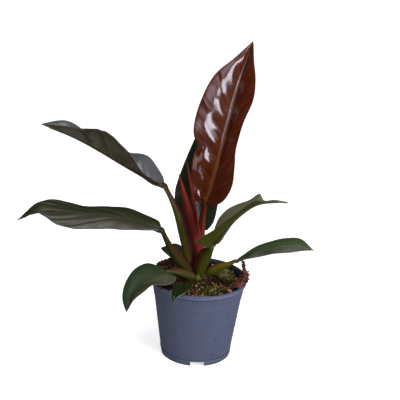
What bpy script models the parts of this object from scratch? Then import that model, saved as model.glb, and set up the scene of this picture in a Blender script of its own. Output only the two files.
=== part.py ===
# Potted philodendron: a young plant with red new growth in a plastic grower's pot.
# Sizes are in millimetres and are turned into metres where a mesh is made.
# The pot stands on z = 0, the camera side is -Y, and the leaves are placed from the crown.
import math

import bmesh
import bpy
from mathutils import Matrix, Vector

MM = 0.001

# pot
RIM_RADIUS = 60.0
POT_HEIGHT = 102.5
BASE_RADIUS = 44.0
WALL = 1.6
LIP_HEIGHT = 5.5
LIP_OVERHANG = 2.4
LIP_ROUND = 1.0
STEP_DROP = 23.0
STEP_DEPTH = 0.5
GROOVE_HEIGHT = 7.5
GROOVE_DEPTH = 0.6
GROOVE_WIDTH = 1.4
FLOOR_HEIGHT = 6.4
FLOOR_THICKNESS = 1.8
FOOT_WALL = 2.6
NOTCH_WIDTH = 17.5
NOTCH_CLEAR = 0.4
DRAIN_RADIUS = 4.0
DRAIN_COUNT = 8
DRAIN_RING = 27.0
POT_SEGMENTS = 48

# soil and crown
GAP = 0.3
SOIL_DROP = 7.5
SOIL_WAVE = 1.2
CROWN_X = 0.0
CROWN_Y = 18.0
STEM_RADIUS = 17.0
STEM_SHOULDER = 6.0
STEM_NECK = 20.0
STEM_DEPTH = 38.0
STEM_NECK_RADIUS = 7.6
STEM_RISE = 1.2
STEM_ROUND = 1.5
STEM_SEGMENTS = 24

# plant
BLADE_THICKNESS = 0.9
STALK_SIDES = 12
BUD_SIZE = (2.8, 2.2, 3.4)
BUD_X = -1.0
LARGE_CELLS = (20, 6)
SMALL_CELLS = (10, 4)
SMALL_LEAF_ANGLE = -113.0
SMALL_STALK = ((6.0, 10.0, 1.8, 1.8), (4.5, 6.5, 1.7, 1.6), (2.0, 3.0, 1.5, 1.3))
SMALL_STALK_RISE = 2.5

# moss and bark
HEAP_EDGE = 0.6
HEAP_LOBES = ((3, 0.10), (7, 0.06))
CHIP_THICKNESS = 2.6
CHIP_RAGGED = (0.14, 0.10, 0.08)

CROWN = Vector((CROWN_X, CROWN_Y, POT_HEIGHT - SOIL_DROP))
STALK_FOOT = STEM_RISE + GAP
INNER_RIM = RIM_RADIUS - LIP_OVERHANG - WALL
INNER_FLOOR = BASE_RADIUS - FOOT_WALL
FLOOR_TOP = FLOOR_HEIGHT + FLOOR_THICKNESS


def over_rim(degrees, inset, rise):
    """A point by the lip: its place round the pot, in from the outer edge, and height over it."""
    angle = math.radians(degrees)
    distance = RIM_RADIUS - inset
    return Vector((distance * math.cos(angle), distance * math.sin(angle), POT_HEIGHT + rise))


# outlines of the leaves as rails, from the foot of the blade to its tip, in millimetres from
# the crown: the left edge, the midrib and the right edge.
LEAVES = {
    "tall": {
        "left": [(-3, 4, 96), (-13, 4, 104), (-16, 4, 124), (-15, 4, 146), (-13, 6, 167),
                 (-15, 6, 194), (-8, 7, 225), (6, 10, 255), (28, 14, 276), (49, 20, 296)],
        "mid": [(4, 6, 97), (7, 8, 106), (11, 10, 121), (16, 12, 143), (20, 13, 164),
                (25, 15, 190), (31, 17, 222), (37, 18, 250), (44, 19, 274), (50, 20, 297)],
        "right": [(10, 3, 92), (25, 2, 100), (35, 2, 120), (37, 3, 147), (38, 5, 169),
                  (45, 6, 199), (55, 8, 228), (56, 11, 253), (53, 15, 274), (51, 20, 296)],
    },
    "back": {
        "left": [(-6, 22, 55), (-22, 20, 66), (-33, 20, 84), (-35, 22, 101), (-32, 27, 116),
                 (-19, 39, 153), (-1, 53, 196)],
        "mid": [(1, 25, 51), (-1, 27, 63), (-3, 30, 81), (-4, 33, 99), (-4, 37, 117),
                (-2, 46, 158), (2, 54, 199)],
        "right": [(8, 22, 53), (15, 20, 65), (19, 20, 85), (21, 22, 105), (21, 27, 125),
                  (13, 39, 165), (5, 53, 196)],
    },
    "upper_left": {
        "left": [(-51, -14, 124), (-62, -18, 132), (-73, -21, 141), (-84, -22, 159),
                 (-102, -21, 177), (-121, -18, 190), (-140, -12, 190), (-168, -1, 188), (-199, 15, 184)],
        "mid": [(-49, -12, 124), (-60, -10, 126), (-73, -7, 133), (-90, -4, 141),
                (-111, 0, 151), (-132, 4, 161), (-153, 8, 170), (-179, 13, 177), (-200, 16, 184)],
        "right": [(-47, -9, 125), (-50, 4, 129), (-58, 12, 139), (-70, 18, 149),
                  (-91, 23, 151), (-115, 26, 157), (-142, 27, 172), (-171, 25, 187), (-199, 18, 184)],
    },
    "mid_left": {
        "left": [(-50, -38, 74), (-66, -46, 76), (-83, -57, 81), (-105, -64, 84), (-127, -71, 85),
                 (-150, -77, 87), (-171, -78, 95), (-190, -72, 103), (-215, -65, 89)],
        "mid": [(-49, -36, 75), (-61, -38, 79), (-79, -41, 85), (-101, -45, 92), (-124, -49, 96),
                (-149, -54, 99), (-174, -58, 101), (-196, -61, 100), (-216, -64, 89)],
        "right": [(-48, -34, 76), (-52, -24, 81), (-67, -18, 86), (-89, -18, 93), (-114, -22, 95),
                  (-141, -28, 98), (-168, -34, 106), (-194, -46, 106), (-215, -62, 89)],
    },
    "lower_left": {
        "left": [(-36, -34, 16), (-28, -40, 15), (-29, -49, 13), (-39, -60, 13), (-53, -70, 17),
                 (-64, -80, 13), (-75, -88, 5), (-82, -93, -8)],
        "mid": [(-41, -30, 17), (-48, -36, 17), (-56, -45, 16), (-65, -54, 13), (-72, -64, 8),
                (-77, -73, 3), (-80, -82, -1), (-83, -93, -9)],
        "right": [(-43, -27, 19), (-53, -23, 22), (-65, -28, 26), (-78, -40, 23), (-86, -54, 16),
                  (-90, -68, 7), (-89, -80, -2), (-84, -92, -9)],
    },
    "upper_right": {
        "left": [(8, -34, 53), (-4, -40, 62), (5, -46, 74), (14, -52, 83), (24, -56, 94),
                 (38, -58, 107), (52, -58, 120), (62, -56, 126), (71, -52, 123), (85, -50, 123),
                 (101, -48, 122)],
        "mid": [(14, -33, 53), (18, -34, 60), (23, -36, 70), (29, -38, 80), (36, -40, 92),
                (46, -43, 104), (56, -46, 113), (65, -49, 119), (72, -50, 121), (85, -49, 122),
                (101, -48, 121)],
        "right": [(19, -28, 53), (16, -17, 68), (18, -15, 78), (22, -16, 87), (31, -18, 98),
                  (43, -22, 107), (56, -28, 116), (67, -36, 127), (73, -46, 122), (85, -47, 124),
                  (101, -47, 122)],
    },
    "lower_right": {
        "left": [(46, -10, 26), (55, -15, 31), (70, -22, 39), (87, -26, 45), (106, -26, 48),
                 (123, -20, 49), (141, -1, 42)],
        "mid": [(45, -8, 26), (55, -6, 30), (69, -4, 36), (87, -2, 41), (106, -1, 45),
                (124, 0, 46), (142, 0, 42)],
        "right": [(46, -5, 26), (54, 4, 30), (68, 12, 37), (87, 18, 43), (106, 20, 49),
                  (126, 16, 50), (141, 2, 42)],
    },
    "back_left": {
        "left": [(-19, 20, 12), (-33, 24, 10), (-41, 28, 13), (-48, 34, 17), (-50, 39, 18)],
        "mid": [(-19, 23, 15), (-27, 28, 16), (-36, 33, 17), (-43, 37, 17), (-51, 41, 17)],
        "right": [(-19, 26, 20), (-26, 34, 26), (-35, 40, 25), (-43, 42, 21), (-50, 42, 18)],
    },
}

# the small front leaf, from a point on the lip
SMALL_LEAF = {
    "left": [(13.5, 32, -3.5), (6.5, 28, 0.5), (-1.5, 20, 3.5), (-6.5, 9, 4.5), (-7.5, -2, 2.5),
             (-6.5, -13, -2.5)],
    "mid": [(14.5, 31, -4.5), (8.5, 22, -0.5), (3.5, 9, 2.5), (-0.5, -2, 3.5), (-3.5, -9, 1.5),
            (-5.5, -14, -3.5)],
    "right": [(15.5, 28, -3.5), (12.5, 13, 0.5), (7.5, -4, 3.5), (2.5, -11, 3.5), (-1.5, -14, 1.5),
              (-4.5, -15, -2.5)],
}

# leaf stalks from foot to blade: x, y, z from the crown, half width, half thickness.
# A foot height of None stands on the stem.
STALKS = {
    "tall": [(1, 9, None, 3.6, 2.8), (1, 11.5, 28, 3.6, 2.6), (0.5, 12, 50, 3.4, 2.4),
             (2, 10, 79, 3.2, 2.4), (3.4, 8, 93.6, 2.8, 2.0)],
    "back": [(4, 15, None, 3.0, 2.2), (3, 19, 16, 3.0, 2.4), (1, 23, 32, 2.8, 2.4),
             (1, 25, 48.6, 2.2, 2.0)],
    "upper_left": [(-9, 2.5, None, 4.0, 2.2), (-13, -3.5, 28, 4.6, 2.3), (-18, -7.5, 47, 4.6, 2.3),
                   (-26, -11, 75, 4.0, 2.2), (-38, -13, 105, 3.0, 2.2), (-47.6, -12, 122, 2.2, 1.8)],
    "mid_left": [(-10.5, -4.5, None, 4.0, 2.4), (-15, -12, 17, 4.6, 2.6), (-24, -21, 34, 4.2, 2.4),
                 (-37, -29, 54, 3.2, 2.2), (-47.6, -35.2, 73, 2.2, 1.8)],
    "lower_left": [(-6.5, -12.5, None, 3.2, 2.2), (-12, -15.5, 7, 4.0, 2.6), (-19, -20, 12, 4.0, 2.6),
                   (-28, -25, 15, 3.0, 2.2), (-38, -29, 16.5, 2.2, 1.8)],
    "upper_right": [(5, -10, None, 4.8, 2.8), (6, -14, 14, 5.0, 2.8), (9, -21, 29, 4.6, 2.6),
                    (13.6, -31.4, 50, 2.8, 2.2)],
    "lower_right": [(13, -3, None, 3.2, 2.8), (17, -6, 8, 4.2, 2.6), (25, -8, 15, 4.4, 2.4),
                    (34, -9, 21, 3.0, 2.0), (44, -8, 25.6, 2.0, 1.4)],
    "back_left": [(-9, 13, None, 2.2, 2.0), (-12, 17, 9, 2.2, 1.8), (-16, 21, 13, 1.9, 1.6)],
}
STALK_FACE = {
    "lower_left": (0, -0.5, 1),
    "lower_right": (0, -0.5, 1),
    "mid_left": (0.3, -1, 0.4),
}
FRONT = (0, -1, 0)

# shoots that stand in the middle: x, y, z from the crown, half width, half thickness
SPEARS = {
    "spear_thick": [(2, -2, None, 4.2, 3.0), (-2.5, 0.8, 23.5, 5.4, 3.2), (-9.5, 0.5, 51.5, 5.2, 3.2),
                    (-18.5, -3.5, 91.5, 4.2, 3.0), (-25, -8, 116, 2.8, 2.4), (-30, -9, 137, 0.6, 0.6)],
    "spear_thin": [(8, 3, None, 2.4, 2.0), (3.5, 5.8, 23, 2.6, 1.8), (-3, 6.4, 53, 2.6, 2.0),
                   (-10.5, 2.5, 94.5, 2.2, 2.0), (-17, -3, 129.5, 1.5, 1.4), (-22, -6, 155, 0.5, 0.5)],
}

# moss cushions and the low heap of bark: angle round the pot, distance in from the wall, half
# sizes outwards and round the pot, height and colour
HEAPS = {
    "moss_right": (31, 5.0, 10.5, 15.0, 4.0, "moss"),
    "moss_front": (-59, 6.0, 15.0, 19.0, 4.0, "moss"),
    "bark_mound": (-14, 3.5, 5.3, 14.5, SOIL_DROP - HEAP_EDGE - 2 * GAP, "bark"),
}

# bark pieces: angle round the pot, distance in from the lip's outer edge, height over the rim,
# length, width, and the turns about z, y and x
CHIPS = {
    "bark_chip_1": (-8, 3.0, 2.4, 18, 8, 30, 4, 6),
    "bark_chip_2": (11, 2.0, 3.0, 17, 8, -62, 8, -8),
    "bark_chip_3": (27, 3.5, 3.0, 15, 7, 24, -8, 6),
    "bark_chip_4": (-28, 5.0, 2.6, 16, 9, -25, 6, -5),
    "bark_chip_5": (2, 3.5, 8.4, 14, 6, 82, 10, -14),
    "bark_chip_6": (20, 1.5, 13.0, 17, 4, -20, -62, 0),
    "bark_slab_back": (137, 12.5, -3.6, 22, 8, 47, 6, 8),
}

COLOURS = {
    "pot": ((0.085, 0.105, 0.20), 0.45),
    "soil": ((0.035, 0.018, 0.010), 0.95),
    "stem": ((0.16, 0.16, 0.03), 0.6),
    "bud": ((0.24, 0.32, 0.05), 0.5),
    "red_leaf": ((0.12, 0.015, 0.004), 0.15),
    "dark_leaf": ((0.035, 0.040, 0.025), 0.4),
    "green_leaf": ((0.020, 0.050, 0.018), 0.35),
    "green_stalk": ((0.10, 0.12, 0.010), 0.45),
    "red_stalk": ((0.11, 0.022, 0.010), 0.4),
    "spear": ((0.19, 0.008, 0.012), 0.35),
    "moss": ((0.09, 0.11, 0.012), 0.95),
    "bark": ((0.13, 0.040, 0.018), 0.9),
}
BLADE_COLOUR = {"tall": "red_leaf", "lower_left": "green_leaf", "lower_right": "green_leaf",
                "small_front": "green_leaf"}


def clear_scene():
    for thing in list(bpy.data.objects):
        bpy.data.objects.remove(thing, do_unlink=True)


def material(name):
    found = bpy.data.materials.get(name)
    if found:
        return found
    colour, roughness = COLOURS[name]
    made = bpy.data.materials.new(name)
    made.use_nodes = True
    shader = made.node_tree.nodes["Principled BSDF"]
    shader.inputs["Base Color"].default_value = (*colour, 1.0)
    shader.inputs["Roughness"].default_value = roughness
    shader.inputs["Metallic"].default_value = 0.0
    return made


def add_object(name, shape, colour, sharp_degrees=40.0):
    """Turns a bmesh in millimetres into a smooth-shaded object in metres."""
    bmesh.ops.transform(shape, matrix=Matrix.Scale(MM, 4), verts=shape.verts)
    mesh = bpy.data.meshes.new(name)
    shape.to_mesh(mesh)
    shape.free()
    mesh.shade_smooth()
    mesh.set_sharp_from_angle(angle=math.radians(sharp_degrees))
    mesh.materials.append(material(colour))
    thing = bpy.data.objects.new(name, mesh)
    bpy.context.scene.collection.objects.link(thing)
    return thing


def turned(profile, centre=(0.0, 0.0), segments=POT_SEGMENTS):
    """A closed solid of revolution from a profile of (radius, height) about an upright axis."""
    shape = bmesh.new()
    points = [shape.verts.new((radius, 0.0, height)) for radius, height in profile]
    edges = [shape.edges.new(pair) for pair in zip(points, points[1:])]
    bmesh.ops.spin(shape, geom=points + edges, axis=(0, 0, 1), cent=(0, 0, 0),
                   angle=math.tau, steps=segments, use_merge=True)
    bmesh.ops.remove_doubles(shape, verts=shape.verts, dist=0.001)
    bmesh.ops.recalc_face_normals(shape, faces=shape.faces)
    bmesh.ops.translate(shape, vec=(*centre, 0.0), verts=shape.verts)
    return shape


def cut(thing, cutter):
    cutter.hide_render = True
    cutter.display_type = "WIRE"
    boolean = thing.modifiers.new("cut", "BOOLEAN")
    boolean.operation = "DIFFERENCE"
    boolean.solver = "EXACT"
    boolean.object = cutter


def inner_radius(height):
    """Inside of the pot's wall, a straight cone from the floor to the rim."""
    share = (height - FLOOR_TOP) / (POT_HEIGHT - FLOOR_TOP)
    return INNER_FLOOR + (INNER_RIM - INNER_FLOOR) * share


def outer_radius(height):
    """Outside of the pot's wall under the lip, without the step and the groove."""
    share = height / (POT_HEIGHT - LIP_HEIGHT)
    return BASE_RADIUS + (RIM_RADIUS - LIP_OVERHANG - BASE_RADIUS) * share


def soil_top(x, y):
    """Height of the uneven soil, flat where it meets the wall and round the stem."""
    edge = inner_radius(CROWN.z) - GAP
    to_wall = max(0.0, 1.0 - (math.hypot(x, y) / edge) ** 6)
    from_stem = math.hypot(x - CROWN.x, y - CROWN.y) / STEM_RADIUS - 1.0
    to_stem = min(1.0, max(0.0, from_stem))
    wave = math.sin(x / 9.0 + 0.6) * math.cos(y / 11.0)
    return CROWN.z + SOIL_WAVE * wave * to_wall * to_stem


def build_pot():
    lip_base = POT_HEIGHT - LIP_HEIGHT
    step = POT_HEIGHT - STEP_DROP
    groove_top = GROOVE_HEIGHT + GROOVE_WIDTH / 2
    groove_base = GROOVE_HEIGHT - GROOVE_WIDTH / 2
    profile = [
        (0.0, FLOOR_TOP),
        (INNER_FLOOR, FLOOR_TOP),
        (inner_radius(POT_HEIGHT - LIP_HEIGHT), POT_HEIGHT - LIP_HEIGHT),
        (INNER_RIM, POT_HEIGHT - LIP_ROUND),
        (INNER_RIM + LIP_ROUND, POT_HEIGHT),
        (RIM_RADIUS - LIP_ROUND, POT_HEIGHT),
        (RIM_RADIUS, POT_HEIGHT - LIP_ROUND),
        (RIM_RADIUS, lip_base + LIP_ROUND / 2),
        (RIM_RADIUS - LIP_ROUND / 2, lip_base),
        (outer_radius(lip_base), lip_base),
        (outer_radius(step), step),
        (outer_radius(step) - STEP_DEPTH, step - STEP_DEPTH),
        (outer_radius(groove_top) - STEP_DEPTH, groove_top),
        (outer_radius(GROOVE_HEIGHT) - GROOVE_DEPTH - STEP_DEPTH, GROOVE_HEIGHT),
        (outer_radius(groove_base), groove_base),
        (BASE_RADIUS, 0.0),
        (BASE_RADIUS - FOOT_WALL, 0.0),
        (BASE_RADIUS - FOOT_WALL, FLOOR_HEIGHT),
        (0.0, FLOOR_HEIGHT),
    ]
    pot = add_object("pot", turned(profile), "pot", 30.0)

    reach = 2.5 * BASE_RADIUS
    notch_top = FLOOR_HEIGHT - NOTCH_CLEAR
    for name, length, width in (("notches_x", reach, NOTCH_WIDTH), ("notches_y", NOTCH_WIDTH, reach)):
        bar = bmesh.new()
        bmesh.ops.create_cube(bar, size=1.0)
        bmesh.ops.scale(bar, vec=(length, width, 2 * notch_top), verts=bar.verts)
        cut(pot, add_object(name, bar, "pot"))

    drains = bmesh.new()
    for index in range(DRAIN_COUNT):
        angle = math.tau * (index + 0.5) / DRAIN_COUNT
        place = Matrix.Translation((DRAIN_RING * math.cos(angle), DRAIN_RING * math.sin(angle), FLOOR_HEIGHT))
        bmesh.ops.create_cone(drains, cap_ends=True, segments=12, radius1=DRAIN_RADIUS,
                              radius2=DRAIN_RADIUS, depth=4 * FLOOR_THICKNESS, matrix=place)
    cut(pot, add_object("drain_cutter", drains, "pot"))
    return pot


def stem_profile(grow):
    """The buried stem's outline, grown on all sides for the socket that it sits in."""
    top = CROWN.z + STEM_RISE + grow
    foot = CROWN.z - STEM_DEPTH - grow
    return [
        (0.0, top),
        (STEM_RADIUS - STEM_ROUND + grow, top),
        (STEM_RADIUS + grow, top - STEM_ROUND),
        (STEM_RADIUS + grow, CROWN.z - STEM_SHOULDER),
        (STEM_NECK_RADIUS + grow, CROWN.z - STEM_NECK),
        (STEM_NECK_RADIUS - STEM_ROUND + grow, foot),
        (0.0, foot),
    ]


def build_soil_and_stem():
    place = (CROWN.x, CROWN.y)
    add_object("crown_stem", turned(stem_profile(0.0), place, STEM_SEGMENTS), "stem")

    base = FLOOR_TOP + GAP
    edge = inner_radius(CROWN.z) - GAP
    rings = [(edge * share, CROWN.z) for share in (0.25, 0.45, 0.65, 0.82, 0.93)]
    profile = [(0.0, CROWN.z)] + rings + [(edge, CROWN.z), (inner_radius(base) - GAP, base), (0.0, base)]
    ground = turned(profile)
    for point in ground.verts:
        if point.co.z > CROWN.z - 1.0:
            point.co.z = soil_top(point.co.x, point.co.y)
    soil = add_object("soil", ground, "soil")
    mouth = POT_HEIGHT + STEM_RISE
    socket = [(0.0, mouth), (STEM_RADIUS + GAP, mouth)] + stem_profile(GAP)[3:]
    cut(soil, add_object("stem_socket", turned(socket, place, STEM_SEGMENTS), "soil"))


def along(points, share):
    """A point on the smooth curve through the points; share runs from 0 to 1."""
    last = len(points) - 1
    place = min(max(share, 0.0), 1.0) * last
    index = min(int(place), last - 1)
    t = place - index
    before = points[max(index - 1, 0)]
    start = points[index]
    end = points[index + 1]
    after = points[min(index + 2, last)]
    value = []
    for a, b, c, d in zip(before, start, end, after):
        value.append(0.5 * (2 * b + (c - a) * t + (2 * a - 5 * b + 4 * c - d) * t * t
                            + (3 * b - a - 3 * c + d) * t ** 3))
    return Vector(value)


def build_leaf(name, rails, start, length_cells, width_cells):
    """A leaf blade: a sheet over its three rails, given its thickness by a solidify."""
    sheet = bmesh.new()
    bmesh.ops.create_grid(sheet, x_segments=length_cells, y_segments=width_cells, size=1.0)
    for point in sheet.verts:
        share = (point.co.x + 1.0) / 2.0
        across = point.co.y
        side = along(rails["right" if across > 0 else "left"], share)
        point.co = start + along(rails["mid"], share).lerp(side, abs(across))
    leaf = add_object("leaf_" + name, sheet, BLADE_COLOUR.get(name, "dark_leaf"), 80.0)
    thicken = leaf.modifiers.new("thickness", "SOLIDIFY")
    thicken.thickness = BLADE_THICKNESS * MM
    thicken.offset = 0.0
    return leaf


def build_stalk(name, path, colour, face=FRONT, rings=8):
    """A stalk with an oval section, swept along its path. Its broad side looks towards face."""
    route = [(x, y, STALK_FOOT if z is None else z, wide, thick) for x, y, z, wide, thick in path]
    rod = bmesh.new()
    bmesh.ops.create_cone(rod, cap_ends=True, segments=STALK_SIDES, radius1=1.0, radius2=1.0, depth=1.0)
    for ring in range(1, rings):
        height = ring / rings - 0.5
        bmesh.ops.bisect_plane(rod, geom=rod.verts[:] + rod.edges[:] + rod.faces[:],
                               plane_co=(0, 0, height), plane_no=(0, 0, 1), dist=0.0001)
    for point in rod.verts:
        share = point.co.z + 0.5
        x, y, z, wide, thick = along(route, share)
        heading = along(route, share + 0.02) - along(route, share - 0.02)
        heading = Vector(heading[:3]).normalized()
        if share < 0.001:
            heading = Vector((0, 0, 1))
        across = heading.cross(Vector(face)).normalized()
        front = heading.cross(across)
        point.co = CROWN + Vector((x, y, z)) + across * (point.co.x * wide) + front * (point.co.y * thick)
    return add_object(name, rod, colour, 60.0)


def build_small_leaf():
    """The small front leaf rises from the soil on a short stalk and hangs over the lip."""
    lip = over_rim(SMALL_LEAF_ANGLE, 0, 0)
    build_leaf("small_front", SMALL_LEAF, lip, *SMALL_CELLS)
    end = lip - CROWN + along(SMALL_LEAF["mid"], 0.0)
    foot_x, foot_y = end.x + SMALL_STALK[0][0], end.y + SMALL_STALK[0][1]
    foot = soil_top(CROWN.x + foot_x, CROWN.y + foot_y) + 2 * GAP - CROWN.z
    heights = (foot, foot + SMALL_STALK_RISE, end.z - GAP)
    path = [(end.x + x, end.y + y, z, wide, thick)
            for (x, y, wide, thick), z in zip(SMALL_STALK, heights)]
    build_stalk("stalk_small_front", path, "green_stalk", face=(0, -0.5, 1), rings=4)


def build_bud():
    """A small bud between the two front stalks, standing on the stem."""
    bud = bmesh.new()
    bmesh.ops.create_uvsphere(bud, u_segments=12, v_segments=8, radius=1.0)
    bmesh.ops.scale(bud, vec=BUD_SIZE, verts=bud.verts)
    place = CROWN + Vector((BUD_X, BUD_SIZE[1] - STEM_RADIUS, STALK_FOOT + BUD_SIZE[2]))
    bmesh.ops.translate(bud, vec=place, verts=bud.verts)
    add_object("crown_bud", bud, "bud", 80.0)


def build_heap(name, around, inset, half_out, half_round, height, colour):
    """A low cushion with an uneven edge that follows the soil under it."""
    pad = bmesh.new()
    bmesh.ops.create_circle(pad, cap_ends=True, cap_tris=True, segments=20, radius=1.0)
    bmesh.ops.subdivide_edges(pad, edges=pad.edges[:], cuts=2, use_grid_fill=True)
    lower = pad.faces[:]
    upper = bmesh.ops.extrude_face_region(pad, geom=lower, use_keep_orig=True)["geom"]
    raised = {item for item in upper if isinstance(item, bmesh.types.BMVert)}
    angle = math.radians(around)
    outwards = Vector((math.cos(angle), math.sin(angle)))
    sideways = Vector((-outwards.y, outwards.x))
    centre = outwards * (inner_radius(CROWN.z) - inset - half_out)
    for point in pad.verts:
        turn = math.atan2(point.co.y, point.co.x)
        (few, broad), (many, fine) = HEAP_LOBES
        uneven = 1.0 + broad * math.sin(few * turn + angle) + fine * math.sin(many * turn)
        spread = outwards * (point.co.x * half_out) + sideways * (point.co.y * half_round)
        place = centre + spread * uneven
        dome = HEAP_EDGE + height * (1.0 - point.co.length_squared)
        ground = soil_top(place.x, place.y) + GAP
        point.co = (place.x, place.y, ground + (dome if point in raised else 0.0))
    bmesh.ops.recalc_face_normals(pad, faces=pad.faces)
    add_object(name, pad, colour, 80.0)


def build_chip(name, around, inset, rise, length, width, turn_z, turn_y, turn_x):
    chip = bmesh.new()
    bmesh.ops.create_cube(chip, size=1.0)
    bmesh.ops.scale(chip, vec=(length, width, CHIP_THICKNESS), verts=chip.verts)
    bmesh.ops.subdivide_edges(chip, edges=chip.edges[:], cuts=1, use_grid_fill=True)
    side, edge, end = CHIP_RAGGED
    for point in chip.verts:
        point.co.y *= 1.0 + side * math.sin(point.co.x * 1.7 + around) + edge * math.cos(point.co.y * 2.3)
        point.co.x *= 1.0 + end * math.sin(point.co.y * 1.9 + turn_z)
    place = over_rim(around, inset, rise)
    turn = Matrix.Rotation(math.radians(turn_z), 4, "Z")
    turn = turn @ Matrix.Rotation(math.radians(turn_y), 4, "Y") @ Matrix.Rotation(math.radians(turn_x), 4, "X")
    bmesh.ops.transform(chip, matrix=Matrix.Translation(place) @ turn, verts=chip.verts)
    add_object(name, chip, "bark", 30.0)


def stand_on_origin():
    """Parents every piece to one empty and puts the middle of the whole plant over the origin."""
    pieces = [thing for thing in bpy.context.scene.objects if thing.type == "MESH"]
    view = bpy.context.evaluated_depsgraph_get()
    corners = [Vector(corner) for thing in pieces if not thing.hide_render
               for corner in thing.evaluated_get(view).bound_box]
    low = Vector(min(corner[axis] for corner in corners) for axis in range(3))
    high = Vector(max(corner[axis] for corner in corners) for axis in range(3))
    plant = bpy.data.objects.new("plant", None)
    bpy.context.scene.collection.objects.link(plant)
    for thing in pieces:
        thing.parent = plant
    plant.location = (-(low.x + high.x) / 2, -(low.y + high.y) / 2, -low.z)


clear_scene()
build_pot()
build_soil_and_stem()
build_bud()
for leaf_name, leaf_rails in LEAVES.items():
    small = len(leaf_rails["mid"]) < 7
    build_leaf(leaf_name, leaf_rails, CROWN, *(SMALL_CELLS if small else LARGE_CELLS))
for leaf_name, stalk_path in STALKS.items():
    stalk_colour = "red_stalk" if leaf_name in ("tall", "back") else "green_stalk"
    build_stalk("stalk_" + leaf_name, stalk_path, stalk_colour, STALK_FACE.get(leaf_name, FRONT))
build_small_leaf()
for spear_name, spear_path in SPEARS.items():
    build_stalk(spear_name, spear_path, "spear", rings=12)
for heap_name, heap_place in HEAPS.items():
    build_heap(heap_name, *heap_place)
for chip_name, chip_place in CHIPS.items():
    build_chip(chip_name, *chip_place)
stand_on_origin()
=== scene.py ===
import math
import random

import bmesh
import bpy
from mathutils import Matrix, Vector, noise


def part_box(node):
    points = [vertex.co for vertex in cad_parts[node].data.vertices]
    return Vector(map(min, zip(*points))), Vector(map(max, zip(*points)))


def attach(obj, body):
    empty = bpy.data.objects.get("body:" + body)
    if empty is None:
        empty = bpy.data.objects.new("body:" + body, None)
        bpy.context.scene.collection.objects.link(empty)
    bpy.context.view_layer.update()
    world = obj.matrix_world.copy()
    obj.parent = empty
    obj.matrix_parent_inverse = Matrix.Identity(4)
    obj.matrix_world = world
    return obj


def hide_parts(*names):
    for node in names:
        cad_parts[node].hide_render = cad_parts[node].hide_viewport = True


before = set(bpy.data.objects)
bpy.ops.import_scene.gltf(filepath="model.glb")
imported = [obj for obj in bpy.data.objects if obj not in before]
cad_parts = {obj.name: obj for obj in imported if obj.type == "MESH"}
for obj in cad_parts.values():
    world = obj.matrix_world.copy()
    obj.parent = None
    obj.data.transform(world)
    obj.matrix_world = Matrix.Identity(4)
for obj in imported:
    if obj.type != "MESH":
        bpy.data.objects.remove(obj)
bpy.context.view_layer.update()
mm = 0.001
stage = bpy.context.scene


def cadPlace(node):
    # middle and corners of a node's box, in millimetres
    low, high = (Vector(corner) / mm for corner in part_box(node))
    return (low + high) / 2, low, high


potMiddle, potLow, _ = cadPlace("pot")
stemMiddle, _, stemHigh = cadPlace("crown_stem")
potAxis = Vector((potMiddle.x, potMiddle.y, potLow.z))
stemRise = 1.2  # the stem's top over the soil
crown = Vector((stemMiddle.x, stemMiddle.y, stemHigh.z - stemRise))
upHint = Vector((0, -0.6, 0.8))  # the side on which the leaves turn their upper face


def along(points, share):
    # a point on the smooth curve through the points, share from 0 to 1
    last = len(points) - 1
    place = min(max(share, 0.0), 1.0) * last
    index = min(int(place), last - 1)
    t = place - index
    before, start, end = points[max(index - 1, 0)], points[index], points[index + 1]
    after = points[min(index + 2, last)]
    return Vector([0.5 * (2 * b + (c - a) * t + (2 * a - 5 * b + 4 * c - d) * t * t
                          + (3 * b - a - 3 * c + d) * t ** 3)
                   for a, b, c, d in zip(before, start, end, after)])


def smooth(value, low, high):
    t = min(max((value - low) / (high - low), 0.0), 1.0)
    return t * t * (3 - 2 * t)


def meshOf(name, shape, unit=mm):
    # hands a bmesh over as a mesh, in metres unless told otherwise
    bmesh.ops.scale(shape, vec=(unit, unit, unit), verts=shape.verts)
    mesh = bpy.data.meshes.new(name)
    shape.to_mesh(mesh)
    shape.free()
    return mesh


def bring(name, data):
    thing = bpy.data.objects.new(name, data)
    stage.collection.objects.link(thing)
    return thing


def makePiece(name, shape, finishes, nodes, sharpDegrees):
    # turns a bmesh in millimetres into a finished piece of the plant
    mesh = meshOf(name, shape)
    mesh.shade_smooth()
    mesh.set_sharp_from_angle(angle=math.radians(sharpDegrees))
    for finish in finishes:
        mesh.materials.append(finish)
    piece = bring(name, mesh)
    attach(piece, "root")
    if nodes:
        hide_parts(*nodes)
    return piece


def thicken(piece, thickness, offset, under, rim):
    # under and rim say how many materials further on those faces find theirs
    solid = piece.modifiers.new("thickness", "SOLIDIFY")
    solid.thickness = thickness * mm
    solid.offset = offset
    solid.material_offset = under
    solid.material_offset_rim = rim


def layMap(shape, name, place):
    # gives a shape a map of its own, from where each point lies before it is bent
    layer = shape.loops.layers.uv.new(name)
    for face in shape.faces:
        for loop in face.loops:
            loop[layer].uv = place(loop.vert.co)


def addNode(tree, kind, **settings):
    node = tree.nodes.new(kind)
    for setting, value in settings.items():
        setattr(node, setting, value)
    return node


def feed(tree, socket, value):
    if isinstance(value, bpy.types.NodeSocket):
        tree.links.new(value, socket)
    elif isinstance(value, tuple) and len(value) == 3 and len(socket.default_value) == 4:
        socket.default_value = (*value, 1.0)
    else:
        socket.default_value = value


def calc(tree, operation, *values):
    node = addNode(tree, "ShaderNodeMath", operation=operation)
    for socket, value in zip(node.inputs, values):
        feed(tree, socket, value)
    return node.outputs[0]


def times(tree, first, second):
    return calc(tree, "MULTIPLY", first, second)


def oneMinus(tree, value):
    return calc(tree, "SUBTRACT", 1.0, value)


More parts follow.
